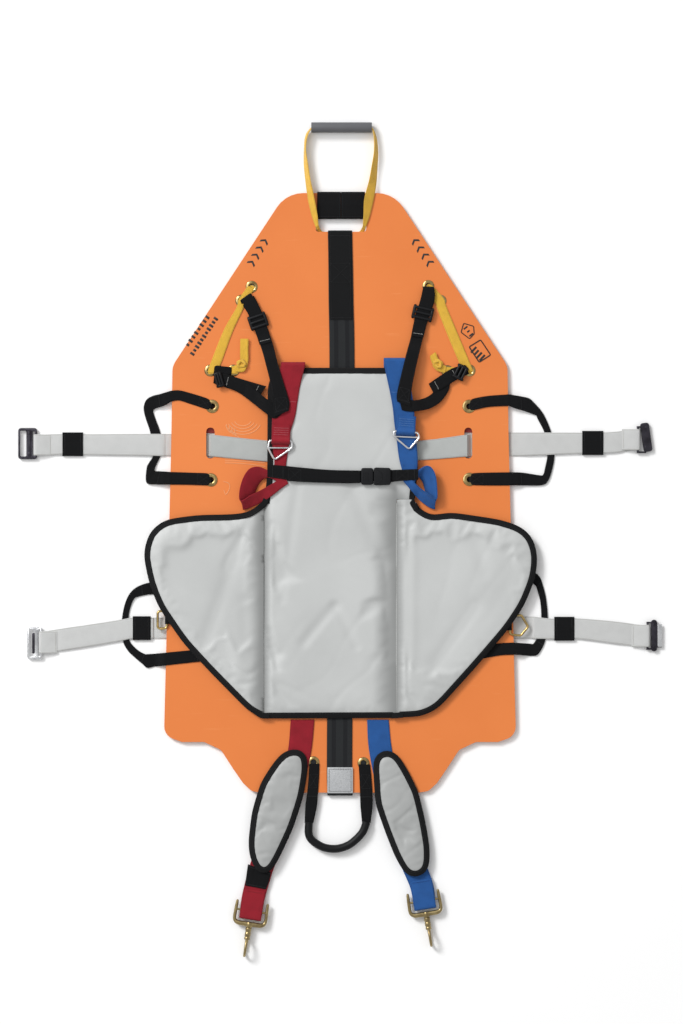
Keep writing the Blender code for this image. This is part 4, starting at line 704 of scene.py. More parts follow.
legs = [Ribbon(rows, thick=LACE) for rows in (HANDLE_LEFT, HANDLE_RIGHT)]
core = tube([(-47, GRIP_Y, GRIP_Z), (53, GRIP_Y, GRIP_Z)], 4.5)
# Each leg goes down at a lower corner of the hand hole and on under the board to the spine strap
turns = [Ribbon([(-46.7, 594.1, 9.8, -40.7, 597.2, 12.4), (-45.4, 590, 6.6, -39.6, 593.4, 9.4),
                 (-44.4, 587.6, 3.6, -37.6, 590.6, 6.0)], thick=LACE),
         Ribbon([(49.4, 594.1, 9.8, 43.3, 597.2, 12.4), (48.2, 590, 6.6, 42.4, 593.4, 9.4),
                 (47.2, 587.6, 3.6, 40.6, 590.6, 6.0)], thick=LACE)]
piece("drag_handle_tape", "drag_handle", "yellow_webbing", "yellow", [*legs, core, *turns],
      ["drag_handle_webbing"])
roots = [Ribbon([(s * x + 1.5, y, z, s * a + 1.5, b, z)
                 for x, y, a, b, z in ((45.6, 587.4, 38.6, 590, 3.4), (44, 583.6, 36, 586, 1.0),
                                       (38, 574, 30, 584, 1.0),
                       (25, 566, 25, 578, 1.0))],
                                                                              thick=LACE)
         for s in (-1, 1)]
piece("drag_handle_roots", "board", "yellow_webbing", "yellow", roots)
grip = [(-54.6, 9.2), (-54, 9.7), (-53, 9.9), (58.8, 9.9), (59.9, 9.7), (60.5, 9.2), (60.2, 7.4), (57, 6.9),
        (-51, 6.9), (-54.3, 7.4)]
rings = [[(x, GRIP_Y + r * cos(t), GRIP_Z + r * sin(t))
          for x, r in grip] for t in np.arange(48) * 2 * pi / 48]
piece("drag_handle_tube", "drag_handle", "grip_rubber", "rubber", [skin(rings, closed=True)],
      ["drag_handle_grip"], crease=35)

# Spine strap --------------------------------------------------------------------------------------
SPINE = [(-23, 583, 23, 583), (-22, 520, 24.4, 520), (-21.5, 450, 25.5, 450), (-20, 326, 27.5, 326),
         (-22, 0, 26, 0), (-24, -250, 24, -250), (-25, -430, 23, -430), (-24, -480.6, 24, -480.6)]
spine = Ribbon([(*e, ON_BOARD) for e in SPINE])
nose = Ribbon([(-23, y, z, 23, y, z) for y, z in ((572, ON_BOARD - 0.1), (583.4, ON_BOARD),
                                                  (585, ON_BOARD - 0.6), (586, ON_BOARD - 2.0),
                                                  (586.3, ON_BOARD - 3.6), (586.3, FLOOR_WEB + 3.6),
                                                  (586, FLOOR_WEB + 2.0), (585, FLOOR_WEB + 0.6),
                                                  (583.4, FLOOR_WEB), (560, FLOOR_WEB))], steps=1)
turn = Ribbon([(-24, y, z, 24, y, z) for y, z in ((-470, ON_BOARD - 0.1), (-480.6, ON_BOARD),
                                                  (-482.9, ON_BOARD - 0.6), (-484.4, ON_BOARD - 2.2),
                                                  (-484.8, ON_BOARD - 4), (-484.8, FLOOR_WEB + 4),
                                                  (-484.4, FLOOR_WEB + 2.2), (-482.9, FLOOR_WEB + 0.6),
                                                  (-480.6, FLOOR_WEB), (-412, FLOOR_WEB))], steps=1)
link = Ribbon([(x, y + 8, x, y - 8, FLOOR_WEB + 0.15) for x, y in FOOT_EYELETS], steps=1)
posts = [tube([(x, y, FLOOR_WEB), (x, y, BOARD_TOP + 0.6)], 4.6) for x, y in FOOT_EYELETS]
piece("spine_webbing", "board", "black_webbing", "ribbed", [spine, nose, turn, link, *posts], ["spine_strap"])
upper = Ribbon([(*e, ON_BOARD + 1.3) for e in ((-21.6, 584.6, 21.6, 584.6), (-19.8, 450, 23.6, 450),
                                               (-18.8, 417, 24.2, 417))], thick=0.9)
sewing = edge_seams(upper, 1, 2, pitch=4)
sewing += bartack(upper, upper.length - 4) + bartack(upper, 8) + box_seam(upper, 60, 96)
piece("spine_upper_layer", "board", "black_webbing", "binding", [upper])
black_stitches("spine_stitching", "board", sewing)
PATCH = (ON_BOARD + WEB / 2 + 0.25, ON_BOARD + WEB / 2 + 1.4)
piece("foot_patch_film", "board", "light_patch", "patch",
      [plate(rounded(rectangle(-24, 24.5, -481, -431.8), 1.5), *PATCH, 0.4)],
      ["spine_strap_foot_patch"])
inset = Ribbon([(-20.5, y, 21, y, PATCH[1] - 1) for y in (-435.5, -477.5)], steps=1, thick=2)
piece("foot_patch_stitching", "board", "black_webbing", "thread_dark",
      box_seam(inset, 0, inset.length, across=1.0, cross=False, pitch=3.0, width=1.1))

# Shoulder laces -----------------------------------------------------------------------------------
LEFT_LACE = [
    at_height(LACE_Z, (-174.8, 482, -163.4, 474.4), (-191.9, 456.4, -178.6, 449.7),
              (-196.8, 440.2, -184.3, 436.4), (-220.4, 398.4, -204.2, 393.7), (-244.1, 339.5, -226.1, 333.8),
              (-251.6, 318.6, -236.5, 314.8)),
    at_height(LACE_Z + 0.3, (-247, 314.8, -247, 327), (-224.2, 314.8, -224.2, 327),
              (-193.8, 314.8, -195.7, 330)),
    [(-197.6, 317.7, -201.4, 330, LACE_Z + 1.4), (-181.3, 319.8, -187, 336.7, LACE_Z + 2.8),
     (-175.7, 333.6, -186.5, 342.3, LACE_Z + 3.6)],
    [(-176, 326, -188.5, 338, LACE_Z + 1.0), (-173.7, 342, -189.5, 344.3, LACE_Z + 3.2),
     (-174, 360.4, -189.6, 360.4, LACE_Z + 3.6), (-173.3, 381.3, -189.2, 381.3, LACE_Z + 4.2)]]
RIGHT_LACE = [
    at_height(LACE_Z, (160.7, 476.3, 174.8, 483.2), (180.5, 448.6, 197.6, 457.3), (184.3, 438.3, 201.4, 444),
              (205.2, 385.1, 223.2, 391.8), (227, 333.8, 245.1, 339.5), (235.6, 314.8, 252.7, 320.5)),
    at_height(LACE_Z + 0.3, (247, 327, 247, 314.8), (224.2, 327, 224.2, 314.8), (195.7, 328.1, 195.7, 312.9)),
    [(201.4, 329.1, 199.5, 315.8, LACE_Z + 1.4), (190, 335.7, 184.3, 320.5, LACE_Z + 2.8),
     (184.5, 341.1, 174.8, 330.5, LACE_Z + 3.4)],
    [(190, 338, 178, 328, LACE_Z + 1.2), (186.2, 344.1, 174, 336.5, LACE_Z + 3.4),
     (181.3, 356.5, 170.2, 348.1, LACE_Z + 4.0)]]


def knot(x, y, z, reach, turn, thick=2.6):
    """Two turns of lace pulled tight."""
    out = []
    for k, tilt in enumerate((0.5, -0.7)):
        loop = []
        for t in np.linspace(0, 2 * pi, 14, endpoint=False):
            a, b = reach * cos(t), reach * 0.62 * sin(t)
            c = turn + tilt
            loop.append((x + a * cos(c) - b * sin(c), y + a * sin(c) + b * cos(c), z + 1.7 * sin(t + k) + k))
        out.append(tube(loop, thick, closed=True, sides=10))
    return out


# Painted shade: dark red plates under the board, seen through the slots and the side handles' eyelets, stand
# for the shaded board edges inside them
slot_shades = [plate(rounded(rectangle(*sides), 3), 1.2, 2.3, 0.3)
          for sides in ((-258, -232, 202.4, 219), (-258, -232, 148, 155.4), (232, 255, 203.4, 219),
                        (232, 255, 148, 155.4))]
slot_shades += [plate([(x + 9.5 * cos(t), y + 9.5 * sin(t)) for t in np.arange(24) * pi / 12], 0.4, 1.1,
                 0.2) for x, y in SIDE_EYELETS[:4]]
piece("board_slot_shade", "board", "red_webbing", "slot_shade", slot_shades)

for side, runs, ends in (("left", LEFT_LACE, [(-187, 334), (-167.6, 478), (-245, 318)]),
                         ("right", RIGHT_LACE, [(186, 334), (169, 480), (245, 318)])):
    parts = [Ribbon(rows, thick=LACE, sag=-0.5 if k == 0 else 0) for k, rows in enumerate(runs)]
    parts += knot(*ends[0], LACE_Z + 2.6, 7.5, 0.4 if side == "left" else -0.5)
    for x, y in ends[1:]:
        parts.append(tube([(x, y, BOARD_BOTTOM + 1), (x, y, LACE_Z + 0.6)], 5.2))
    piece(f"{side}_lace_tape", "board", "yellow_webbing", "yellow", parts, [f"{side}_shoulder_lace"])


# Black loops over the laces' lower crossings
loops = [Ribbon([(-240, 314, -238, 329, LACE_Z + 1.2), (-234, 312, -233, 330.5, LACE_Z + 2.4),
                 (-222, 311.5, -221.4, 329, LACE_Z + 2.6), (-212, 312, -211.4, 328, LACE_Z + 2.2),
                 (-206, 314, -205.4, 327, LACE_Z + 1.0)], thick=WEB),
         Ribbon([(242, 313, 240, 329, LACE_Z + 1.2), (236, 311, 235, 331, LACE_Z + 2.4),
                 (224, 308, 222, 327, LACE_Z + 2.6), (212, 304, 208, 321, LACE_Z + 2.2),
                 (206, 303, 203, 316, LACE_Z + 1.0)], thick=WEB)]
black("lower_lace_loops", "board", loops)


# Shoulder straps, their rings ---------------------------------------------------------------------
def shoulder_strap(side, look, stations, top, loop, bar, outward, loop_mark):
    """The strap over the pad: turned under it at the top, folded over a ring's bar, looped below."""
    ax, ay, bx, by = top
    rows = [(ay - 45, by - 45, ON_BOARD), (ay - 20, by - 20, ON_BOARD), (ay - 6, by - 6, ON_BOARD),
            (ay - 2, by - 2, ON_BOARD + 1.2), (ay - 0.3, by - 0.3, ON_BOARD + 4),
            (ay, by, (ON_BOARD + OVER_PAD) / 2), (ay - 0.3, by - 0.3, OVER_PAD - 4),
            (ay - 2, by - 2, OVER_PAD - 1.2), (ay - 6, by - 6, OVER_PAD)]
    turn = Ribbon([(ax, p, z, bx, q, z) for p, q, z in rows], steps=1)
    main = Ribbon([(ax, ay - 5.5, bx, by - 5.5, OVER_PAD)] + [(*s, OVER_PAD) for s in stations], sag=-0.3)
    tail = Ribbon(loop, steps=6, sag=0.4)
    away = Vector(outward)
    across = Vector((away.y, -away.x)) * 17.5
    arch = []
    for back, z in ((-30, 2.1), (-20, 2.1), (-12, 2.2), (-8, 2.6), (-5.4, 3.9), (-3.2, 6.0), (-1.5, 7.1),
                    (0, 7.5), (1.5, 7.1), (3.2, 6.0), (5.0, 3.9), (6.0, 2.2), (6.2, 1.2)):
        spot = Vector(bar) + away * back
        arch.append((*(spot - across), OVER_PAD + z, *(spot + across), OVER_PAD + z))
    hold = Ribbon(arch, steps=2)
    slot = f"{look}_webbing"
    piece(f"{side}_shoulder_webbing", "board", slot, look, [turn, main, hold, tail],
          [f"{side}_shoulder_strap"])
    tacks = [s for a in (6, 10.2, 14.4, 18.6) for s in bartack(hold, a, across=0.8, depth=1.6, pitch=1.3,
        width=0.6)]
    tacks += bartack(main, loop_mark, across=0.9, depth=1.2, pitch=1.6)
    piece(f"{side}_shoulder_bartacks", "board", slot, "thread_pink" if look == "red" else "thread_sky", tacks)
    end = main.length
    rows = box_seam(main, end - 34, end - 4, across=0.72, pitch=2.6, width=0.7)
    rows += edge_seams(main, 6, 60, 0.88, pitch=3.6)
    piece(f"{side}_shoulder_stitching", "board", slot, f"thread_{look}", rows)
    return main


shoulder_strap("left", "red", [(-121.6, 293.9, -75, 293.9), (-126.3, 261.6, -80.6, 259.7),
                               (-128.1, 236.9, -84.5, 235), (-129.2, 202.7, -94, 202.7),
                               (-127.3, 170.4, -97.8, 170.4), (-124.4, 145.7, -101.6, 145.7),
                               (-128.2, 117.2, -104.5, 109.6)],
    (-112, 336, -66, 336),
    [(-112, 116, 24.2, -116, 108, 23.2), (-126, 124, 25.4, -126, 114, 21.5),
     (-140, 133, 25.6, -136, 118, 17), (-156, 138.5, 26.2, -146, 114, 12.2),
     (-172, 134, 27, -152, 108, 11.4), (-184, 116, 27.4, -158, 98, 11.2), (-190.5, 92, 27.2, -164, 84, 11),
     (-190, 76, 27, -180, 64, 11.2), (-182, 76, 27, -184, 57, 11.4), (-170, 84, 26.8, -172, 60, 12.4),
     (-152, 93, 26.4, -150, 70, 15.5), (-134, 103, 26, -128, 84, 23.4), (-116, 114, 25.4, -110, 98, 23.8),
     (-104, 120, 25, -98, 106, 24.2)],
    (-112.1, 187.5), (-0.035, -1.0), 70)
shoulder_strap("right", "blue", [(87.4, 312.9, 130.2, 312.9), (94.4, 280.6, 135.8, 280.6),
                                 (99.8, 250.2, 139.8, 250.2), (102.6, 223.6, 141.7, 227.4),
                                 (107.3, 189.4, 144.4, 191.3), (112.1, 153.3, 147.2, 153.3),
                                 (119.7, 124.8, 145.2, 124.8), (124.4, 105.8, 142.5, 109.6)],
    (83, 344, 125, 344),
    [(130, 114, 24.2, 134, 108, 23.2), (140, 124, 25.4, 140, 114, 21.8), (152, 134, 25.6, 148, 118, 17),
     (163, 140, 26.2, 152, 116, 12.4), (173, 137, 27, 156, 110, 11.4), (181, 122, 27.4, 159, 102, 11.2),
     (184, 98, 27.2, 163, 88, 11), (183.5, 78, 27, 176, 65, 11.2), (176, 80, 27, 180, 58, 11.4),
     (166, 88, 26.8, 168, 62, 12.4), (152, 98, 26.4, 150, 76, 15.5), (140, 110, 26, 136, 92, 23.4),
     (128, 122, 25.4, 124, 106, 23.8), (120, 128, 25, 116, 116, 24.2)],
    (124.4, 204.6), (-0.075, -1.0), 60)


def d_ring(side, bar_left, bar_right, corner_left, corner_right, apex):
    outline = rounded([bar_left, corner_left, apex, corner_right, bar_right], 5, 8)
    ring = tube([(x, y, RING_Z) for x, y in outline], 2.0, closed=True, sides=20)
    bar = tube([(*corner_left, RING_Z), (*corner_right, RING_Z)], 1.7, sides=18)
    piece(f"{side}_d_ring_wire", f"{side}_d_ring", "steel", "steel", [ring, bar], [f"{side}_d_ring"])


d_ring("left", (-133.9, 188.3), (-90.6, 186.8), (-136.2, 174.2), (-91.2, 174.2), (-124.4, 151.1))
d_ring("right", (101.8, 206.2), (147.4, 202.7), (102.2, 195.9), (150.1, 193.6), (131.1, 171.2))

# Chest strap and buckle ---------------------------------------------------------------------------
chest = Ribbon(at_height(CHEST_WEB, (-137.6, 142.9, -137.6, 119.1), (-104.5, 140, -104.5, 114.2),
                         (-74.9, 137, -74.9, 110), (-19, 132.4, -19, 107.7), (47, 131, 47, 108)), steps=10,
                         sag=-0.2)
second = Ribbon(at_height(CHEST_WEB + 2.2, (-100, 137, -100, 111.6), (-60, 134, -60, 109),
                          (10, 131, 10, 107), (38, 130.4, 38, 107.4)), steps=8, thick=1.8)
black("chest_webbing", "chest", [chest, second], ["chest_strap"])
black_stitches("chest_strap_stitching", "chest",
      box_seam(second, 3, 26, pitch=2.8) + bartack(chest, 10) + bartack(chest, 30) + seam(chest, (4, 0.86),
          (chest.length - 14, 0.86)))
stub = Ribbon(at_height(CHEST_WEB, (91, 132, 91, 108), (110, 132.6, 110, 111), (148, 134, 148, 113.6)))
black("chest_stub_webbing", "board", [stub], ["chest_stub"])
black_stitches("chest_stub_stitching", "board", box_seam(stub, 16, 38, pitch=2.8) + bartack(stub, 50))
refined("chest_buckle_plug", "chest", "plastic", rim=0.7)
refined("chest_buckle_socket", "board", "plastic", rim=0.7)
top = PAD_TOP + 9.4
details = [tube([(44 + 3.2 * k, 111.5, top - 0.6), (44 + 3.2 * k, 128.5, top - 0.6)], 0.7,
                sides=10) for k in range(4)]
piece("chest_buckle_ribs", "chest", "buckle_plastic", "plastic", details)
details = [tube([(67.5, 106.5, top + 0.2), (73, 108.5, top + 0.4), (78, 113, top + 0.4),
                 (79.4, 120, top + 0.4), (78, 127, top + 0.4), (73, 131.5, top + 0.4),
                 (67.5, 133.5, top + 0.2)], 0.6, sides=10, smooth=5)]
details += [tube([(88 + 2.6 * k, 109, top + 0.1), (88 + 2.6 * k, 131, top + 0.1)], 0.6,
                 sides=10) for k in range(3)]
piece("chest_buckle_mouldings", "board", "buckle_plastic", "plastic", details)

# Adjuster straps ----------------------------------------------------------------------------------
LEFT_ADJUSTER = [
    [(-184.3, 444, -163.4, 463, LOW), (-174.8, 428.8, -152, 440.2, LOW), (-168, 413.6, -144.4, 421.2, LOW),
     (-160.5, 394.6, -136.8, 400.3, LOW), (-149, 362.3, -126.5, 368.8, LOW + 5),
     (-141.4, 335.7, -119.7, 341.4, OVER_STRAP - 1), (-130, 288.2, -106.4, 295.8, OVER_STRAP + 1.8),
     (-127.3, 259.7, -96.1, 261.6, OVER_STRAP + 1.8), (-124.3, 233.1, -96.9, 244.5, OVER_STRAP + 1.8)],
    [(-100.7, 246.4, -125.4, 255.9, OVER_STRAP), (-121.6, 230.1, -129.2, 261.6, OVER_STRAP),
     (-136.8, 236.9, -140.6, 268.1, OVER_STRAP - 0.2), (-167.2, 260.7, -165.3, 288.2, OVER_STRAP - 9),
     (-193.8, 279.9, -188.1, 304.4, LOW + 0.3), (-224.2, 291.1, -220.4, 313.9, LOW + 0.3),
     (-240.3, 296.8, -238.4, 316.7, LOW + 0.3)],
    [(-239.4, 297.7, -237.5, 318.6, LOW + 2.1), (-212.8, 288.2, -207.1, 311, LOW + 2.1),
     (-182.4, 277.8, -172.9, 300.6, LOW + 2.4), (-153.9, 270.2, -139.7, 290.9, LOW + 3.4)],
    [(-186.5, 447, -168, 462.5, LOW - 1.6), (-189, 453, -170, 467, LOW + 0.6),
     (-186.5, 452, -167.5, 465, LOW + 3.2), (-181, 442, -160, 455, LOW + 3.6),
     (-174, 427, -151.4, 438, LOW + 3.4), (-168.2, 413.6, -144.6, 421.2, LOW + 3.2),
     (-162, 398, -138.4, 404, LOW + 2.4), (-158, 386.6, -134.4, 392.3, LOW + 2.6),
     (-152.4, 369.4, -128.6, 375.5, LOW + 6.2)]]
RIGHT_ADJUSTER = [
    [(160.7, 472.5, 176.7, 473.3, LOW), (154.8, 453.5, 179.5, 454.5, LOW), (145.5, 434.5, 171, 429.6, LOW),
     (140.6, 415.5, 164.5, 411.7, LOW), (134.1, 383.2, 156.9, 380.2, LOW + 4),
     (126.2, 354.7, 149.3, 349.8, OVER_STRAP - 1), (114, 305.3, 137.8, 297.7, OVER_STRAP + 1.8),
     (107.5, 274.9, 134.1, 269.2, OVER_STRAP + 1.8), (108.3, 261.6, 134.9, 252.1, OVER_STRAP + 1.8)],
    [(112.1, 266.2, 117, 245.7, OVER_STRAP + 0.1), (125.4, 266.6, 127.3, 243, OVER_STRAP),
     (142.5, 264.3, 144.4, 243.4, OVER_STRAP), (161.5, 269.2, 169.1, 248.3, OVER_STRAP - 8),
     (174.8, 277.6, 191.1, 261.6, LOW + 3), (186.2, 292, 206.3, 283.3, LOW + 0.3),
     (199.5, 309.1, 210.9, 297.7, LOW + 0.3), (226.1, 325.3, 234.6, 310.1, LOW + 0.3),
     (239.4, 330.4, 244.3, 316.7, LOW + 0.3)],
    [(237.5, 331.9, 245.1, 314.8, LOW + 2.1), (212.8, 325.1, 223.4, 304.6, LOW + 2.1),
     (190, 311, 201.4, 290.9, LOW + 2.2), (168, 295.8, 177.8, 276.8, LOW + 3.0)],
    [(158, 475, 178, 475, LOW - 1.6), (157.5, 479.5, 178.6, 479, LOW + 0.8),
     (157, 476, 179, 475.4, LOW + 3.3), (154, 462, 180, 461.4, LOW + 3.6), (150, 447, 176, 444.5, LOW + 3.5),
     (145.5, 434.5, 171, 429.6, LOW + 3.3), (141.8, 418, 166.4, 414, LOW + 2.5),
     (139, 408, 163.4, 404.4, LOW + 2.9), (134.8, 386.4, 158, 383.2, LOW + 6.0)]]
for side, runs in (("left", LEFT_ADJUSTER), ("right", RIGHT_ADJUSTER)):
    main, back, tab, doubled = (Ribbon(rows, sag=-0.25) for rows in runs)
    black(f"{side}_adjuster_webbing", "board", [main, back, tab, doubled], [f"{side}_adjuster_strap"])
    marks = bartack(doubled, doubled.length - 6, across=0.8, depth=1.0, pitch=1.4)
    marks += bartack(tab, tab.length - 12, across=0.74, depth=1.0, pitch=1.4) + bartack(tab, 26, across=0.7,
        depth=0.9, pitch=1.4)
    piece(f"{side}_adjuster_marks", "board", "black_webbing", "thread_grey", marks)
    dark = bartack(main, main.length - 6) + box_seam(main, main.length - 30, main.length - 8, across=0.7,
                                                     pitch=2.8)
    dark += edge_seams(main, 30, 34)
    black_stitches(f"{side}_adjuster_stitching", "board", dark)


def ladder_lock(x, y, turn, length, width, low):
    """Side rails with three cross bars, the strap passing over the outer ones and under the middle."""
    spin = Matrix.Rotation(radians(turn), 2)
    place = lambda a, b, z: (*(spin @ Vector((a, b)) + Vector((x, y))), z)
    half, reach = width / 2, length / 2
    out = []
    for side in (-1, 1):
        edge = half - 1.6
        out.append(tube([place(side * edge, b, low + h)
                         for b, h in ((-reach, 2.0), (-reach * 0.8, 3.6), (0, 4.6), (reach * 0.8, 3.6),
                               (reach, 2.0))],
                        [2.3, 3.0, 3.1, 3.0, 2.3], sides=16, smooth=5))
    for b, h, r in ((-reach * 0.74, 5.0, 2.7), (0, 5.8, 2.5), (reach * 0.74, 5.0, 2.7)):
        bar = [place(a * (half - 1), b, low + h - 0.9 * (abs(a) ** 6)) for a in (-1, -0.8, -0.4, 0, 0.4, 0.8,
            1)]
        out.append(tube(bar, r, sides=14, smooth=3))
    return out


for name, place, stands_for in (
        ("left_adjuster", (-155.4, 414.4, 19, 26, 33, LOW - 1), ["left_adjuster_slider"]),
        ("right_adjuster", (156.9, 429.6, -13, 25, 37, LOW - 1), ["right_adjuster_slider"]),
        ("left_lower", (-229.5, 303.5, 106, 13, 27, LOW + 0.4), ()),
        ("right_lower", (228.5, 317.5, 63, 20, 26, LOW + 0.4), ())):
    piece(f"{name}_lock", "board", "buckle_plastic", "plastic", ladder_lock(*place), stands_for)

# Torso straps on the board, the lower strap under it ------------------------------------------------
# Lines where webbing bends down or up, with a small gap between the two stiff parts
FLEX_GAP = 0.06
EDGE_X, LEFT_FLEX_X, RIGHT_FLEX_X = 321.0, -352.0, 362.0
EDGE_IN, EDGE_OUT = EDGE_X - FLEX_GAP, EDGE_X + FLEX_GAP
LEFT_FLEX_IN, LEFT_FLEX_OUT = LEFT_FLEX_X + FLEX_GAP, LEFT_FLEX_X - FLEX_GAP
RIGHT_FLEX_IN, RIGHT_FLEX_OUT = RIGHT_FLEX_X - FLEX_GAP, RIGHT_FLEX_X + FLEX_GAP
TORSO = {
    "left": [(-62, 186, 146, ON_BOARD), (-137, 188, 148, ON_BOARD), (-236, 198.6, 157.4, ON_BOARD),
             (-240.5, 198.8, 157.5, ON_BOARD - 0.4), (-243.2, 199, 157.6, ON_BOARD - 1.8),
             (-245, 199.4, 157.8, ON_BOARD - 4), (-246.6, 199.6, 158, FLOOR_WEB + 3.2),
             (-249.2, 200, 158, FLOOR_WEB + 0.9), (-253.5, 200, 158, FLOOR_WEB),
             (-EDGE_IN, 201, 159, FLOOR_WEB)],
    "right": [(62, 188, 149, ON_BOARD), (152, 188, 151, ON_BOARD), (234, 198.6, 157.4, ON_BOARD),
              (238.5, 198.8, 157.5, ON_BOARD - 0.4), (241.2, 199, 157.6, ON_BOARD - 1.8),
              (242.9, 199.6, 157.8, ON_BOARD - 4), (244.5, 200, 158, FLOOR_WEB + 3.2),
              (247.1, 200.4, 158, FLOOR_WEB + 0.9), (251.5, 200.6, 158, FLOOR_WEB),
              (EDGE_IN, 203.6, 159, FLOOR_WEB)]}


def flat_run(rows, side, **options):
    """A strap running out to one side: x, upper edge, lower edge, height."""
    return Ribbon([(x, high, x, low, z) if side < 0 else (x, low, x, high, z) for x, high, low, z in rows],
                  **options)


# The runs on the board take the grey webbing's copy with painted shade
for side, sign in (("left", -1), ("right", 1)):
    run = flat_run(TORSO[side], sign, steps=3)
    piece(f"{side}_torso_inner_webbing", "board", "grey_webbing", "grey_shaded", [run],
          [f"{side}_torso_strap_inner"])
under = Ribbon(at_height(FLOOR_WEB, (LEFT_FLEX_IN, -148, LEFT_FLEX_IN, -188), (-330, -148, -330, -188),
                         (0, -147, 0, -188), (330, -146, 330, -188),
                         (RIGHT_FLEX_IN, -146, RIGHT_FLEX_IN, -188)), steps=4)
piece("lower_under_webbing", "board", "grey_webbing", "grey", [under], ["lower_strap_under_board"])


# Side handles -------------------------------------------------------------------------------------
def post(x, y, low):
    side = 1 if x > 0 else -1
    return tube([(x + 1.6 * side, y, low), (x + 1.6 * side, y, low + 1),
                 (x + 1.6 * side, y, BOARD_TOP - 1.6)], 4.0, sides=16)


def root_box(strap):
    """The sewn root of a handle: a box with a cross."""
    return box_seam(strap, 3, 27, across=0.76, pitch=2.8)


UPPER_ANCHORS = {
    "left": ([[(-242.4, 257.6, -245.4, 246.6, 6.4), (-246.4, 262.4, -250.4, 246.6, 9.2),
               (-252.7, 268.4, -256, 248.4), (-287.3, 279.3, -289, 259.4), (-306, 283.6, -307, 264.4),
               (-EDGE_IN, 282.8, -EDGE_IN, 262)],
              [(-244.6, 119.6, -244.6, 107.6, 6.4), (-249.4, 124.6, -249.4, 104, 9.2),
               (-256, 126.4, -256, 103.2), (-285, 127.4, -285, 104.2), (-EDGE_IN, 128.6, -EDGE_IN, 104.6)]],
             SIDE_EYELETS[:2],
             [(-250.8, 261.6, -228, 265.4), (-228, 238.8, -205.2, 250.2), (-224.2, 183.7, -201.4, 183.7),
              (-229.9, 124.8, -205.2, 113.4), (-252.7, 109.6, -229.9, 98.2)]),
    "right": ([[(244.6, 247, 244.6, 258.6, 6.4), (249, 245.6, 248, 263.6, 9.2), (256, 246.4, 254, 268),
                (283.1, 252, 281.2, 273), (EDGE_IN, 254, EDGE_IN, 276)],
               [(245.4, 108.6, 245.4, 120.4, 6.4), (250, 104.6, 250, 124.6, 9.2), (256, 103.6, 256, 126.6),
                (285, 103, 285, 127.5), (EDGE_IN, 103, EDGE_IN, 128)]],
              SIDE_EYELETS[2:4],
              [(229.9, 265.4, 252.7, 261.6), (207.1, 250.2, 229.9, 238.8), (201.4, 183.7, 224.2, 183.7),
               (207.1, 117.2, 229.9, 128.6), (229.9, 98.2, 252.7, 109.6)])}
for side, (runs, spots, link) in UPPER_ANCHORS.items():
    straps = [Ribbon([s if len(s) == 5 else (*s, ON_BOARD) for s in rows], sag=-0.3) for rows in runs]
    posts = [post(*spot, FLOOR_WEB) for spot in spots]
    black(f"{side}_upper_anchor_webbing", "board", [*straps, *posts, Ribbon([(*s, FLOOR_WEB) for s in link])],
          [f"{side}_upper_handle_anchor"])
    black_stitches(f"{side}_upper_anchor_stitching", "board", [t for s in straps for t in root_box(s)])


def ring_tab(root_x, bar_x, side, high, low):
    """A short strap that rises from the handle's root and folds over the ring's inner bar."""
    rows = [(root_x, ON_BOARD + 0.1), (bar_x - side * 9, ON_BOARD + 0.1),
            (bar_x - side * 5.4, ON_BOARD + 0.6), (bar_x - side * 4, ON_BOARD + 1.6),
            (bar_x - side * 2.8, ON_BOARD + 3.1), (bar_x - side * 0.8, ON_BOARD + 3.8),
            (bar_x + side * 1.4, ON_BOARD + 3.3), (bar_x + side * 2.9, ON_BOARD + 1.8)]
    return Ribbon([(x, high, z, x, low, z) for x, z in rows], steps=2)


LEFT_RING_X, RIGHT_RING_X = -328.5, 322.5
LOWER_ANCHORS = {
    "left": ([[(-244, -95, -246, -70, ON_BOARD), (-262, -98, -262, -73, ON_BOARD),
               (-318, -103, -318, -80, ON_BOARD), (-333, -103.6, -333, -81, ON_BOARD),
               (LEFT_FLEX_IN, -103.6, LEFT_FLEX_IN, -82, FLOOR_WEB)],
              at_height(ON_BOARD + 0.2, (-243, -76, -267, -76), (-243, -150, -267, -150),
                        (-243, -226, -267, -226)),
              [(-244, -230, -244, -208, ON_BOARD), (-262, -231, -262, -208, ON_BOARD),
               (-318, -237, -318, -213, ON_BOARD), (-333, -239, -333, -214.6, ON_BOARD),
               (LEFT_FLEX_IN, -241, LEFT_FLEX_IN, -216.6, FLOOR_WEB)]],
             SIDE_EYELETS[4:6], ring_tab(-250, LEFT_RING_X, -1, -140, -160)),
    "right": ([[(250, -52, 250, -77, ON_BOARD), (268, -54, 268, -78, ON_BOARD),
                (322, -56, 322, -79, ON_BOARD), (337, -56.6, 337, -79.6, ON_BOARD),
                (RIGHT_FLEX_IN, -57, RIGHT_FLEX_IN, -80, FLOOR_WEB)],
               at_height(ON_BOARD + 0.2, (273, -60, 249, -60), (273, -140, 249, -140),
                         (273, -224, 249, -224)),
               [(250, -203, 250, -226, ON_BOARD), (268, -203, 268, -226, ON_BOARD),
                (300, -197, 300, -220, ON_BOARD), (322, -195.4, 322, -218.4, ON_BOARD),
                (337, -195.6, 337, -218.6, ON_BOARD),
                (RIGHT_FLEX_IN, -197.6, RIGHT_FLEX_IN, -221, FLOOR_WEB)]],
              SIDE_EYELETS[6:], ring_tab(256, RIGHT_RING_X, 1, -152, -172))}
for side, (runs, spots, tab) in LOWER_ANCHORS.items():
    straps = [Ribbon(rows) for rows in runs]
    posts = [tube([(x, y, BOARD_BOTTOM), (x, y, ON_BOARD)], 5.4, sides=16) for x, y in spots]
    black(f"{side}_lower_anchor_webbing", "board", [*straps, *posts, tab], [f"{side}_lower_handle_anchor"])
    sewn = root_box(straps[0]) + root_box(straps[2]) + box_seam(tab, 50, 66, across=0.7, pitch=2.6)
    black_stitches(f"{side}_lower_anchor_stitching", "board", sewn)

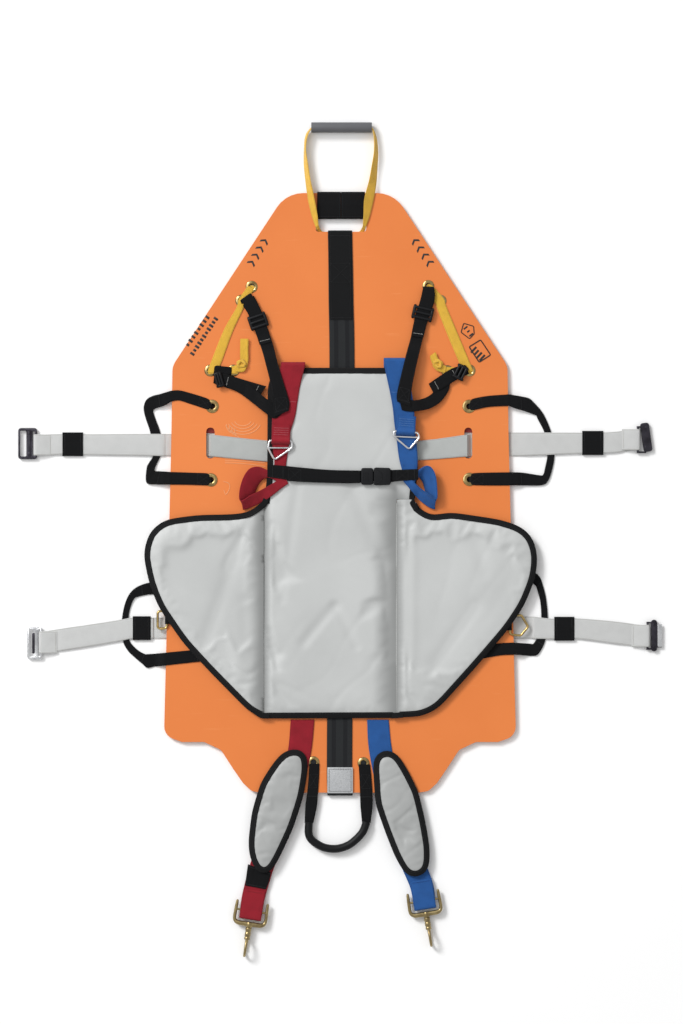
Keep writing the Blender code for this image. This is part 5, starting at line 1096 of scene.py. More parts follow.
HANDLES = {
    "left_upper": [(-EDGE_OUT, 262, -EDGE_OUT, 282.8, ON_BOARD), (-329, 256.6, -330, 280, ON_BOARD - 0.6),
                   (-339, 252.4, -342, 276.4, ON_BOARD - 3.4), (-349, 249.6, -356, 273, FLOOR_WEB + 2.4),
                   (-354.2, 246, -368, 265.4, FLOOR_WEB + 1.2), (-354, 240, -373, 250.6, FLOOR_WEB + 0.4),
                   (-350, 228, -370, 233, FLOOR_WEB), (-342, 206, -361, 206, FLOOR_WEB),
                   (-338.8, 184, -356.6, 183, FLOOR_WEB), (-340, 162, -355.4, 159.8, FLOOR_WEB),
                   (-347.6, 145, -362.4, 147, FLOOR_WEB + 0.4),
                   (-352.4, 133.4, -367.4, 135.6, FLOOR_WEB + 1.4),
                   (-350.6, 130.4, -367.6, 108.4, FLOOR_WEB + 1.6), (-343, 130, -350, 105, FLOOR_WEB + 3.4),
                   (-332, 129.4, -334, 104.6, ON_BOARD - 1.6),
                   (-EDGE_OUT, 128.6, -EDGE_OUT, 104.6, ON_BOARD)],
    "right_upper": [(EDGE_OUT, 276, EDGE_OUT, 254, ON_BOARD), (333, 274, 333, 249, ON_BOARD - 1),
                    (347, 271.6, 349.6, 244.4, ON_BOARD - 4), (359.4, 268.4, 366, 238.4, FLOOR_WEB + 1.6),
                    (368, 261, 372.6, 236, FLOOR_WEB + 1), (385.3, 240.7, 375.6, 229, FLOOR_WEB + 0.3),
                    (399.4, 210, 387.4, 206, FLOOR_WEB), (404.4, 186, 391.6, 186, FLOOR_WEB),
                    (407.4, 162, 394, 161, FLOOR_WEB), (404.4, 138, 390, 139, FLOOR_WEB + 0.3),
                    (396, 113, 386, 124, FLOOR_WEB + 1), (384, 103.6, 378.4, 122.6, FLOOR_WEB + 1.4),
                    (352, 103, 350, 127, FLOOR_WEB + 2), (334, 103, 334, 128, ON_BOARD - 2),
                    (EDGE_OUT, 103, EDGE_OUT, 128, ON_BOARD)],
    "left_lower": [(LEFT_FLEX_OUT, -103.6, LEFT_FLEX_OUT, -82, FLOOR_WEB),
                   (-366, -104.6, -367, -82.6, FLOOR_WEB), (-384, -108.6, -386, -90, FLOOR_WEB + 0.4),
                   (-390.4, -111.6, -399, -101.6, FLOOR_WEB + 1),
                   (-396.4, -123.7, -408, -120, FLOOR_WEB + 0.3), (-401, -142, -413.4, -144, FLOOR_WEB),
                   (-402.4, -166, -415, -168, FLOOR_WEB), (-400.4, -190, -412.4, -193, FLOOR_WEB),
                   (-392.4, -202, -403, -211, FLOOR_WEB), (-381.4, -211.6, -389, -224.6, FLOOR_WEB + 0.3),
                   (-370, -217.4, -375.4, -236, FLOOR_WEB + 1),
                   (-366, -217.4, -366.4, -243.4, FLOOR_WEB + 1),
                   (LEFT_FLEX_OUT, -216.6, LEFT_FLEX_OUT, -241, FLOOR_WEB)],
    "right_lower": [(RIGHT_FLEX_OUT, -57, RIGHT_FLEX_OUT, -80, FLOOR_WEB), (379, -70, 372, -88, FLOOR_WEB),
                    (387, -92, 375.6, -98, FLOOR_WEB), (391.8, -114, 380.4, -118, FLOOR_WEB),
                    (394.6, -144, 382.4, -145, FLOOR_WEB), (394, -168, 381, -168, FLOOR_WEB),
                    (391, -187, 376, -184, FLOOR_WEB), (385.6, -203, 371, -192.4, FLOOR_WEB + 0.4),
                    (375, -218.6, 366.6, -198, FLOOR_WEB + 1),
                    (RIGHT_FLEX_OUT, -221, RIGHT_FLEX_OUT, -197.6, FLOOR_WEB)]}
for name, rows in HANDLES.items():
    strap = Ribbon(rows, steps=8)
    black(f"{name}_handle_webbing", f"{name}_handle", [strap], [f"{name}_handle"])
    sewn = edge_seams(strap, 20, 20, 0.84, pitch=3.4)
    black_stitches(f"{name}_handle_stitching", f"{name}_handle",
                   sewn + bartack(strap, 24) + bartack(strap, strap.length - 24))

for side, corners in (("left", [(LEFT_RING_X, -134.6), (LEFT_RING_X, -168), (-346, -169), (-346, -136)]),
                      ("right", [(RIGHT_RING_X, -144.6), (RIGHT_RING_X, -179.6), (343, -182), (357, -165),
                                 (344, -143)])):
    ring = [(x, y, RING_LEVEL) for x, y in rounded(corners, 5, 8)]
    piece(f"{side}_brass_ring_wire", "board", "brass", "brass", [tube(ring, 2.3, closed=True, sides=18)],
          [f"{side}_brass_ring"])

# Side straps, keepers, end fittings -----------------------------------------------------------------
SIDE_STRAPS = {
    "left_torso": (-1, (-527, -488, 161, 201.6), (-577.5, 200, 160),
                   [(-EDGE_OUT, 201, 159, FLOOR_WEB), (-330, 201, 159, FLOOR_WEB + 0.3),
                    (-343, 201, 159, RAISED_WEB), (-400, 201, 160, RAISED_WEB),
                    (-470, 200.6, 161, RAISED_WEB), (-508, 200.6, 162, RAISED_WEB),
                    (-546, 200.6, 161, RAISED_WEB), (-565, 200, 160, FLOOR_WEB),
                    (-577, 200, 160, FLOOR_WEB)]),
    "right_torso": (1, (460, 500, 163, 204.4), (565.5, 210, 170),
                    [(EDGE_OUT, 203.6, 159, FLOOR_WEB), (332, 203.6, 159, FLOOR_WEB + 0.3),
                     (370, 203.6, 160, RAISED_WEB), (440, 203.4, 163, RAISED_WEB),
                     (480, 203.4, 164, RAISED_WEB), (520, 205, 165, RAISED_WEB),
                     (550, 208.6, 168.6, FLOOR_WEB), (565, 210, 170, FLOOR_WEB)]),
    "left_lower": (-1, (-393.5, -359.5, -188.4, -147.6), (-567.5, -174, -216),
                   [(LEFT_FLEX_OUT, -148, -188, FLOOR_WEB), (-355.4, -148, -188, FLOOR_WEB),
                    (-359, -148, -188, RAISED_WEB), (-394, -148, -188, RAISED_WEB),
                    (-401, -148.8, -188.8, RAISED_WEB), (-420, -152.4, -193, RAISED_WEB),
                    (-478, -161.4, -203, RAISED_WEB), (-520, -167.4, -209.4, RAISED_WEB),
                    (-552, -172.4, -214.6, FLOOR_WEB), (-567, -174, -216, FLOOR_WEB)]),
    "right_lower": (1, (407, 445, -189.6, -148.6), (584, -161.5, -203.5),
                    [(RIGHT_FLEX_OUT, -146, -188, FLOOR_WEB), (365, -146, -188, FLOOR_WEB + 0.2),
                     (371, -146.4, -188, RAISED_WEB), (398, -149.6, -188.6, RAISED_WEB),
                     (426, -149.6, -188.6, RAISED_WEB), (456, -149.6, -188.6, RAISED_WEB),
                     (520, -155, -197, RAISED_WEB), (566, -161, -203, FLOOR_WEB),
                     (583.6, -161.5, -203.5, FLOOR_WEB)])}
for name, (sign, keeper, tip, rows) in SIDE_STRAPS.items():
    strap = flat_run(rows, sign, steps=8, sag=-0.15)
    x, high, low = tip
    turned = folded((x, (high + low) / 2, FLOOR_WEB + FOLD), (sign, 0), abs(high - low) / 2, 30,
                    FLOOR_WEB + WEB + 0.1)
    piece(f"{name}_strap_webbing", f"{name}_strap", "grey_webbing", "grey", [strap, turned],
          [f"{name}_strap"])
    sewn = bartack(turned, turned.length - 3, across=0.84, pitch=1.4)
    piece(f"{name}_strap_stitching", f"{name}_strap", "grey_webbing", "thread_grey", sewn)
    x0, x1, low, high = keeper
    # A band of black webbing sewn into a sleeve round the strap
    over, below, lap = RAISED_WEB + WEB / 2 + 1.3, RAISED_WEB - WEB / 2 - 1.2, 2.2
    loop = rounded(rectangle(low - lap, high + lap, below, over), 1.8, 5)
    rings = [[(x, y, z) for y, z in loop] for x in (x0, x0 + 0.5, x1 - 0.5, x1)]
    hollow = rounded(rectangle(low - lap + 1.5, high + lap - 1.5, below + 0.9, over - 0.9), 0.9, 5)
    rings += [[(x, y, z) for y, z in hollow] for x in (x1, x1 - 0.5, x0 + 0.5, x0)]
    rings = np.array(rings)
    weave = np.stack([rings[..., 0] * MM, rings[..., 1] * MM, np.full(rings.shape[:2], 0.01)], axis=-1)
    black(f"{name}_keeper_webbing", f"{name}_keeper", [skin(rings, closed=True, weave=weave)],
          [f"{name}_keeper"], crease=40)
    sleeve = Ribbon([(x0 + 1, low, x0 + 1, high, over - 1), (x1 - 1, low, x1 - 1, high, over - 1)], steps=1)
    lap_y = low + 0.6 * (high - low)
    lap = Ribbon([(x0 + 0.4, low - 1, x0 + 0.4, lap_y, over - 0.2),
                  (x1 - 0.4, low - 1, x1 - 0.4, lap_y, over - 0.2)], steps=1, thick=1.2)
    black(f"{name}_keeper_lap", f"{name}_keeper", [lap])
    sewn = bartack(sleeve, 3.5, across=0.96) + bartack(sleeve, sleeve.length - 3.5, across=0.96)
    black_stitches(f"{name}_keeper_stitching", f"{name}_keeper", sewn)

for node, slot, look in (("left_torso_end_frame", "dark_anodised", "anodised"),
                         ("left_lower_end_frame", "steel", "steel"),
                         ("right_torso_end_tongue", "dark_anodised", "anodised"),
                         ("right_lower_end_tongue", "dark_anodised", "anodised")):
    refined(node, node, look, rim=0.6)
LEVEL = FLOOR_WEB + FOLD
details = [block((-592.5, -587), (158, 207), (LEVEL + 1.4, LEVEL + 3.0), corner=1.8)]
details += [tube([(-590, y, LEVEL + 1.5), (-590, y, LEVEL + 3.4), (-590, y, LEVEL + 3.7)], [2.6, 2.3, 1.2],
                 sides=18) for y in (164, 201)]
piece("left_torso_end_bar", "left_torso_end_frame", "dark_anodised", "anodised", details)
details = [block((-584.5, -579.5), (-216, -177), (LEVEL + 1.4, LEVEL + 2.8), corner=1.8)]
piece("left_lower_end_bar", "left_lower_end_frame", "dark_anodised", "anodised", details)
for name, x, pair, radii in (("right_torso_end", 581.5, (176, 213), [2.9, 2.5, 1.4]),
                             ("right_lower_end", 596.5, (-203, -161), [2.6, 2.2, 1.2])):
    rivets = [tube([(x, y, LEVEL + lift) for lift in (2.2, 3.2, 3.5)], radii, sides=18) for y in pair]
    piece(f"{name}_rivets", f"{name}_tongue", "dark_anodised", "anodised", rivets)
lip = block((602.8, 611.2), (-203.4, -160.6), (LEVEL - 1.2, LEVEL + 2.0), corner=1.8)
piece("right_lower_end_lip", "right_lower_end_tongue", "steel", "steel", [lip])

# Foot handle --------------------------------------------------------------------------------------
FOOT_RUNS = [
    [(-58.1, -425, -38.9, -425, ON_BOARD), (-59.7, -452.8, -39.9, -452.8, ON_BOARD),
     (-62.7, -482.4, -41.8, -482.4, ON_BOARD), (-65.7, -504.1, -43.7, -506, FOOT_GRIP_Z),
     (-67.3, -537.5, -50.5, -537.5, FOOT_GRIP_Z)],
    [(35.3, -426.2, 57, -426.2, ON_BOARD), (36.9, -452.8, 59.7, -452.8, ON_BOARD),
     (38, -482.4, 61.6, -482.4, ON_BOARD), (38.8, -506, 61.9, -506, FOOT_GRIP_Z),
     (41.8, -537.5, 58.1, -537.5, FOOT_GRIP_Z)]]
HOSE = [(-58.9, -536.2), (-59.7, -555.4), (-55.9, -566.8), (-45.6, -576.3), (-28.5, -584.6), (-6.1, -586.5),
        (15.2, -580.1), (31.5, -567.9), (43.7, -553.5), (50.2, -536.2)]
runs = [Ribbon(rows) for rows in FOOT_RUNS]
core = tube([(x, y, FOOT_GRIP_Z) for x, y in HOSE], 4.4, smooth=4)
black("foot_handle_tape", "foot_handle", [*runs, core], ["foot_handle_webbing"])
black_stitches("foot_handle_stitching", "foot_handle",
      [s for r in runs for s in box_seam(r, 20, 46, across=0.72, pitch=2.8) + bartack(r, 62)])
path = through([(x, y) for x, y in HOSE], 6)
shell, inside = (tube([(x, y, FOOT_GRIP_Z) for x, y in path], r, sides=28)[0].reshape(-1, 28,
    3) for r in (7.5, 5.3))
piece("foot_handle_hose", "foot_handle", "grip_rubber", "hose",
      [skin(np.concatenate([shell, inside[::-1]]), closed=True)], ["foot_handle_grip"], crease=40)

# Leg straps and swivel snaps ------------------------------------------------------------------------
LEFT_OUT = Vector((-0.155, -0.988)).normalized()
RIGHT_OUT = Vector((0.16, -0.987)).normalized()
LEFT_BAR = Vector((-168.3, -704.7))
RIGHT_BAR = Vector((159.6, -685.3))


def tail_edge(bar, out, back, half):
    """Both edges of the strap so far back from the bar."""
    middle = bar - out * back
    across = Vector((out.y, -out.x)) * half
    return (*(middle - across), *(middle + across))


LEGS = {
    "left": ("red", LEFT_BAR, LEFT_OUT, [(-48.6, -341.8, -93.5, -341.8, ON_BOARD),
                                         (-54.3, -399.6, -98.8, -399.6, ON_BOARD),
                                         (-70.3, -475.6, -114.8, -466.1, ON_BOARD),
                                         (-86.3, -523.1, -129.2, -509.8, ON_BOARD - 0.4),
                                         (-105.3, -574.4, -149, -559.2, TAIL_Z + 1),
                                         (-125.4, -623.8, -170.2, -614.3, TAIL_Z)]),
    "right": ("blue", RIGHT_BAR, RIGHT_OUT, [(92.3, -341.8, 51.3, -341.8, ON_BOARD),
                                             (98.8, -399.6, 55.1, -399.6, ON_BOARD),
                                             (115.9, -475.6, 72.2, -487, ON_BOARD),
                                             (129.2, -517.4, 85.5, -532.6, ON_BOARD - 0.4),
                                             (146.3, -566.8, 103.7, -582, TAIL_Z + 1),
                                             (162.3, -612.4, 117.8, -623.8, TAIL_Z)])}
for side, (look, bar, out, rows) in LEGS.items():
    rows = rows + [(*tail_edge(bar, out, 28, 22), TAIL_Z), (*tail_edge(bar, out, -9, 21), TAIL_Z)]
    strap = Ribbon(rows, sag=-0.2)
    turned = folded((*(bar + out * 12), SNAP_Z), tuple(out), 21, 52, TAIL_Z + WEB + 0.3)
    slot = f"{look}_webbing"
    piece(f"{side}_leg_webbing", f"{side}_leg", slot, look, [strap, turned], [f"{side}_leg_strap"])
    sewn = bartack(turned, turned.length - 18 + 14, across=0.82, depth=1.6, pitch=1.3, width=0.6)
    sewn += edge_seams(strap, 90, 50, 0.88, pitch=3.6)
    piece(f"{side}_leg_stitching", f"{side}_leg", slot, f"thread_{look}", sewn)


def on_axis(bar, out, along, across=0.0, z=SNAP_Z):
    """A place measured from the bar, along the strap's direction and across it."""
    spot = bar + out * along + Vector((out.y, -out.x)) * across
    return (spot.x, spot.y, z)


def turned_part(bar, out, profile, sides=36):
    """A part turned on the swivel's axis: places along it with their radii."""
    across = Vector((out.y, -out.x, 0))
    rings = []
    for k in range(sides):
        t = 2 * pi * k / sides
        rings.append([Vector(on_axis(bar, out, a)) + across * r * cos(t) + Vector((0, 0, r * sin(t)))
                      for a, r in profile])
    return skin(rings, closed=True)


def rod_profile(start, end, radius, rim=0.7, neck=()):
    return [(start, 0.05), (start, radius - rim), (start + 0.3 * rim, radius - 0.3 * rim),
            (start + rim, radius), *neck, (end - rim, radius),
            (end - 0.3 * rim, radius - 0.3 * rim), (end, radius - rim), (end, 0.05)]


for side, bar, out in (("left", LEFT_BAR, LEFT_OUT), ("right", RIGHT_BAR, RIGHT_OUT)):
    spot = lambda along, across=0.0, lift=0.0: on_axis(bar, out, along, across, SNAP_Z + lift)
    bend = [(-16, 29), (-8, 29.2), (4, 29.6), (14, 29.8), (21, 28), (24.6, 22), (25, 12), (25, -12),
            (24.6, -22), (21, -28), (14, -29.8), (4, -29.6), (-8, -29.2), (-16, -29)]
    frame_wire = tube([spot(a, b) for a, b in bend],
                      [2.5, 3.0, 3.1, 3.1, 3.5, 4.4, 4.6, 4.6, 4.4, 3.5, 3.1, 3.1, 3.0, 2.5], smooth=6,
                      sides=20)
    ends = [tube([spot(-16, b), spot(-17.4, b), spot(-18.2, b)], [2.5, 1.9, 0.5], sides=18) for b in (29,
        -29)]
    cross = tube([spot(0, -28), spot(0, 28)], 2.0, sides=20)
    boss = turned_part(bar, out, [(21.6, 2.7), (21.6, 5.6), (22.6, 6.2), (30, 6.2), (31, 5.6), (31, 2.7)])
    piece(f"{side}_snap_eye_wire", f"{side}_snap_eye_frame", "brass", "bronze",
          [frame_wire, *ends, cross, boss], [f"{side}_snap_eye_frame"])
    rings = [(39, 5.6), (39.6, 5.0), (40.8, 5.0), (41.4, 5.6), (48, 5.6), (48.6, 4.9), (50, 4.9), (50.6, 5.4)]
    barrel = turned_part(bar, out, rod_profile(31.8, 55, 5.6, 1.0, rings))
    stem = turned_part(bar, out, rod_profile(27, 34, 2.2, 0.5))
    hook = [(50, 0, 0.2), (54, 0, 3.4), (58, 0, 7.4), (63.5, 0, 10.4), (71, 0, 11.4), (78.5, 0, 9.9),
            (84, 0, 5.4), (86, 0, 0), (84.2, 0, -4.2), (80, 0, -6.0), (77, 0, -6.2)]
    hook = tube([spot(a, b, z) for a, b, z in hook], [3.2, 3.3, 3.1, 2.8, 2.7, 2.6, 2.5, 2.5, 2.4, 2.2, 1.7],
                smooth=6, sides=20)
    piece(f"{side}_snap_hook_forging", f"{side}_snap_hook", "brass", "bronze", [barrel, stem, hook],
          [f"{side}_snap_hook"])
    refined(f"{side}_snap_gate", f"{side}_snap_gate", "brass", rim=0.5)


# Padded pieces ------------------------------------------------------------------------------------
def spread(corners, radius, gap):
    """The rounded outline as points at even distances."""
    corner_points = np.array(rounded(corners, radius, 8))
    ring = np.vstack([corner_points, corner_points[:1]])
    along = np.concatenate([[0], np.cumsum(np.linalg.norm(np.diff(ring, axis=0), axis=1))])
    count = int(along[-1] / gap)
    at = np.arange(count) * along[-1] / count
    return np.column_stack([np.interp(at, along, ring[:, k]) for k in (0, 1)])


def everywhere(*_):
    return True


def reach_to(points, outline, keep=everywhere):
    """How far each point lies from the outline, or from the stretches of it that are kept."""
    best = np.full(len(points), np.inf)
    for start, end in zip(outline, np.roll(outline, -1, axis=0), strict=True):
        if keep(*start) and keep(*end):
            edge = end - start
            share = np.clip((points - start) @ edge / max(edge @ edge, 1e-9), 0, 1)
            best = np.minimum(best, np.hypot(*(points - start - share[:, None] * edge).T))
    return best


def off_line(points, x, y0, y1):
    """How far each point lies from a line along y, as the sum of both directions."""
    return np.abs(points[:, 0] - x) + np.clip(y0 - points[:, 1], 0, None) + np.clip(points[:, 1] - y1, 0,
        None)


def swell(distance, reach):
    """0 at a sewn edge, 1 from reach inwards, with a full round shoulder."""
    return 1 - (1 - np.clip(distance / reach, 0, 1)) ** 2.4


class Pad:
    """A filled pad: an outline in plan, its lowest and highest level, and lines along y where it is sewn.

    Each line is its x, both ends in y, the width over which the pad rises again and its cover's painted shade
    spreads, and its depth as a share.
    rim is the edge's share of the full height, and keep tells which places on the outline are bound.
    """

    def __init__(self, corners, radius, low, high, rim, reach=30.0, lines=(), gap=5.0, keep=everywhere):
        self.low, self.high, self.rim, self.reach, self.lines = low, high, rim, reach, lines
        self.outline = spread(corners, radius, gap)
        self.keep = keep
        self.softened()
        x0, y0 = self.outline.min(axis=0)
        x1, y1 = self.outline.max(axis=0)
        grid = np.array([(x + (gap / 2 if row % 2 else 0), y)
                         for row, y in enumerate(np.arange(y0 + gap, y1, gap * 0.87))
                         for x in np.arange(x0 + gap, x1, gap)])
        count = len(self.outline)
        plan = [Vector(p) for p in np.vstack([self.outline, grid[reach_to(grid, self.outline) > gap * 0.6]])]
        plan, _, faces, *_ = delaunay_2d_cdt(plan, [], [list(range(count))], 1, 1e-5)
        self.plan = np.array([tuple(p) for p in plan])
        self.faces = [tuple(f) for f in faces]
        self.count = count

    def softened(self):
        """Evens out the bound stretches of the outline, which run in sweeping curves."""
        bound = np.array([self.keep(x, y) for x, y in self.outline])
        for _ in range(3):
            bound &= np.roll(bound, 1) & np.roll(bound, -1)
        weight = np.where(bound, 0.5, 0.0)[:, None]
        for _ in range(14):
            middle = (np.roll(self.outline, 1, axis=0) + np.roll(self.outline, -1, axis=0)) / 2
            self.outline = self.outline * (1 - weight) + middle * weight

    def edge_distance(self, points):
        """How far each point lies from the bound part of the rim."""
        return reach_to(points, self.outline, self.keep)

    def sewn(self, points, distance):
        """Share of the full height at each point: held down at the rim and along the sewn lines."""
        share = swell(distance, self.reach)
        for x, y0, y1, width, depth in self.lines:
            near = 1 - np.clip(off_line(points, x, y0, y1) / width, 0, 1)
            share = np.minimum(share, 1 - depth * near ** 1.3)
        return share

    def folding(self, points):
        """1 on a sewn line, falling to 0 where the pad is full again."""
        share = np.zeros(len(points))
        for x, y0, y1, width, _ in self.lines:
            share = np.maximum(share, np.clip(1 - off_line(points, x, y0, y1) / width, 0, 1))
        return share * share * (3 - 2 * share)

    def top(self, points, distance):
        return self.low + (self.high - self.low) * (self.rim + (1 - self.rim) * self.sewn(points, distance))

    def bottom(self, distance):
        share = swell(distance, 9.0)
        return self.low + (self.high - self.low) * 0.26 * (1 - share)

    def shape(self, wrinkle):
        """The closed surface. wrinkle gives how far the top sinks at a place."""
        distance = self.edge_distance(self.plan)
        upper = self.top(self.plan, distance) - wrinkle(self.plan[:, 0], self.plan[:, 1]) * swell(distance,
            40.0)
        lower = self.bottom(distance)
        points = np.vstack([np.column_stack([self.plan, upper]), np.column_stack([self.plan, lower])])
        total = len(self.plan)
        faces = list(self.faces) + [tuple(total + i for i in reversed(f)) for f in self.faces]
        edges = {}
        for face in self.faces:
            for a, b in zip(face, face[1:] + face[:1], strict=True):
                edges[(a, b)] = (b, a) not in edges
                if (b, a) in edges:
                    edges[(b, a)] = False
        faces += [(b, a, total + a, total + b) for (a, b), free in edges.items() if free]
        weave = np.zeros_like(points)
        # Painted shade: the cover is darkened along its sewn folds, over each line's width
        weave[:total, 0] = 0.95 * self.folding(self.plan)
        return points, faces, weave

    def binding(self):
        """Tape folded round the rim, along each bound run of the outline."""
        outline = self.outline
        ahead = np.roll(outline, -1, axis=0) - np.roll(outline, 1, axis=0)
        ahead /= np.linalg.norm(ahead, axis=1, keepdims=True)
        inward = np.column_stack([-ahead[:, 1], ahead[:, 0]])
        if clockwise(outline):
            inward = -inward
        kept = np.array([self.keep(x, y) for x, y in outline])
        closed = bool(kept.all())
        runs = [np.arange(len(outline))]
        if not closed:
            start = int(np.argmin(kept))
            order = (np.arange(len(outline)) + start) % len(outline)
            runs, run = [], []
            for i in [*order, order[0]]:
                if kept[i]:
                    run.append(i)
                elif run:
                    runs.append(run)
                    run = []
        out = []
        for run in runs:
            if len(run) < 3:
                continue
            rings, weave = [], []
            for step, i in enumerate(run):
                at = lambda inset: (outline[i] + inward[i] * inset)[None, :]
                high = lambda inset: float(self.top(at(inset), np.array([inset]))[0])
                floor = lambda inset: float(self.bottom(np.array([inset]))[0])
                middle = (high(0) + floor(0)) / 2
                profile = [(10.2, high(10.2) + 0.15), (10.0, high(10) + 0.8), (8.8, high(8.8) + 1.05),
                           (6.4, high(6.4) + 1.05), (4, high(4) + 1.0),
                           (2, high(2) + 0.9), (0.4, high(0.4) + 0.8), (-0.7, high(0) - 0.4), (-1.1, middle),
                           (-0.7, floor(0) + 0.4), (0.8, floor(0.8) - 0.5),
                           (4, floor(4) - 0.4), (8.4, floor(8.4) - 0.1), (8.6, floor(8.6) + 0.7),
                           (1.2, middle - 1), (1.0, middle), (1.2, middle + 1),
                           (9.6, high(9.6) - 0.8)]
                place = outline[i]
                rings.append([(*(place + inward[i] * a), max(z, 0.2)) for a, z in profile])
                weave.append([(0.9 * k * MM, 5.0 * step * MM, 0.02) for k in range(len(profile))])
            out.append(skin(rings, closed=closed, weave=weave))
        return out

    def rim_stitches(self, inset=7.4):
        """A row of stitches along the tape."""
        outline = self.outline
        ahead = np.roll(outline, -1, axis=0) - outline
        length = np.maximum(np.linalg.norm(ahead, axis=1, keepdims=True), 1e-9)
        inward = np.column_stack([-ahead[:, 1], ahead[:, 0]]) / length
        if clockwise(outline):
            inward = -inward
        out = []
        for i, (x, y) in enumerate(outline):
            j = (i + 1) % len(outline)
            if not (self.keep(x, y) and self.keep(*outline[j])):
                continue
            z = float(self.top((outline[i] + inward[i] * inset)[None, :], np.array([inset]))[0]) + 1.05
            a, b = outline[i] + inward[i] * inset, outline[j] + inward[i] * inset
            out.append(thread((*(a + (b - a) * 0.14), z), (*(a + (b - a) * 0.86), z), (0, 0, 1), 0.8, 0.4))
        return out


def creased(seed, scale, depth, lean=0.0, stretch=2.2):
    """Soft wrinkles leaning across the pad, as a depth."""
    def sink(xs, ys):
        out = []
        for x, y in zip(xs, ys, strict=True):
            u, v = x * cos(lean) - y * sin(lean), (x * sin(lean) + y * cos(lean)) / stretch
            broad = noise.noise(Vector((u * scale * 0.35, v * scale * 0.35, seed))) * 0.5 + 0.5
            ridge = 1 - abs(noise.noise(Vector((u * scale + 0.8 * broad, v * scale, seed + 7.3)))) * 2.6
            out.append(depth * (1.2 * broad + 0.6 * max(0.0, ridge) ** 3))
        return np.array(out)
    return sink


def dented(sink, strokes):
    """Adds broad soft valleys to wrinkles: from x, y to x, y, with a width and a depth."""
    def deeper(xs, ys):
        total = sink(xs, ys)
        for x0, y0, x1, y1, width, depth in strokes:
            run = np.array([x1 - x0, y1 - y0])
            place = np.column_stack([xs - x0, ys - y0])
            share = np.clip(place @ run / (run @ run), 0, 1)
            total += depth * np.exp(-((np.hypot(*(place - share[:, None] * run).T) / width) ** 2))
        return total
    return deeper


BACK_VALLEYS = [(19, 113.4, 83.6, -42.4, 15, 2.4), (83.6, -42.4, 95, -219.1, 12, 2.2),
                (-11.4, -126, -68.4, -194.4, 10, 2.2), (-7.6, -126, 30.4, -202, 10, 1.8),
                (-133, -171.6, -117.8, -243.8, 6, 2.0), (-76, 132.4, -110.2, -114.6, 9, 1.2)]
LEFT_VALLEYS = [(-167.2, 45, -212.8, -50, 9, 3.0), (-201.4, -38.6, -254.6, -190.6, 14, 2.0),
                (-178.6, -114.6, -174.8, -266.6, 12, 1.6)]
RIGHT_VALLEYS = [(254.6, -126, 182.4, -232.4, 14, 2.2), (239.4, 75.4, 273.6, -61.4, 13, 1.6),
                 (140.6, 37.4, 136.8, -285.6, 8, -1.2)]
PAD = [(-68, 325), (89, 325), (128, 325, 8), (141, 189), (148, 146), (141, 77, 2), (107.2, 76.4, 0),
       (107.2, -337, 2), (-144.2, -338, 2), (-144.2, 66, 0), (-137, 117), (-136, 303), (-114, 325)]
LEFT_WING = [(-144.8, 74, 0), (-170, 50.7), (-205.2, 46.9), (-267.9, 46), (-332.5, 37.4), (-361, 14.6),
             (-372.4, -26.4), (-361, -82.3), (-342.9, -127.9), (-297.2, -194.4), (-246.2, -249.5),
             (-195.7, -300.8), (-170, -327), (-144.8, -337, 0)]
RIGHT_WING = [(107.8, -336, 0), (155.8, -334.2), (186.2, -319), (257.4, -240), (318.6, -168.9),
              (349.2, -123.1), (369.5, -72.2), (374.3, -31), (364.8, 4.2), (343.9, 24.1), (303.2, 37.4),
              (206.7, 51.7), (171, 43.1), (150.1, 58.3), (141.4, 76.6), (107.8, 76.2, 0)]
LEFT_LEAF = [(-83.6, -395.8), (-63.5, -405.3), (-61.9, -435.7), (-70.3, -487), (-89.3, -545.9),
             (-114, -599.1), (-129.2, -626.8), (-144.4, -635.9), (-160.4, -625.7), (-171, -599.1),
             (-172.9, -572.5), (-166.4, -517.4), (-150.1, -462.3), (-127.3, -426.2), (-108.3, -403.4)]
RIGHT_LEAF = [(87.4, -397.7), (65.7, -409.1), (63.5, -430), (68, -500.3), (86.6, -553.5), (104.5, -599.1),
              (124.8, -635.2), (144.4, -640.9), (163.4, -631.4), (169.1, -616.2), (169.1, -582),
              (160.7, -533.5), (147.6, -477.5), (128.1, -438.7), (108.3, -406)]
LEAF_BOTTOM = ON_BOARD + WEB / 2 + 0.5
SETTLING = 20  # steps for which the covers are let settle
HELD_RIM = 9.5  # how far in from a seam the cover stays where it is
CALM_RIM = 45  # how far in from the rim the cover moves less
FOLD_MIDDLE = -130.0  # the middle of both folds, along y
BENDING = 24  # a width beside a wing's fold, giving the end passed to finish_pad, which does not use it


def beside_fold(x, y):
    """Whether a place on the back pad's rim is bound: not where a wing goes on."""
    return not ((x < -143.6 and -336 < y < 66) or (x > 106.6 and -335.6 < y < 77.8))


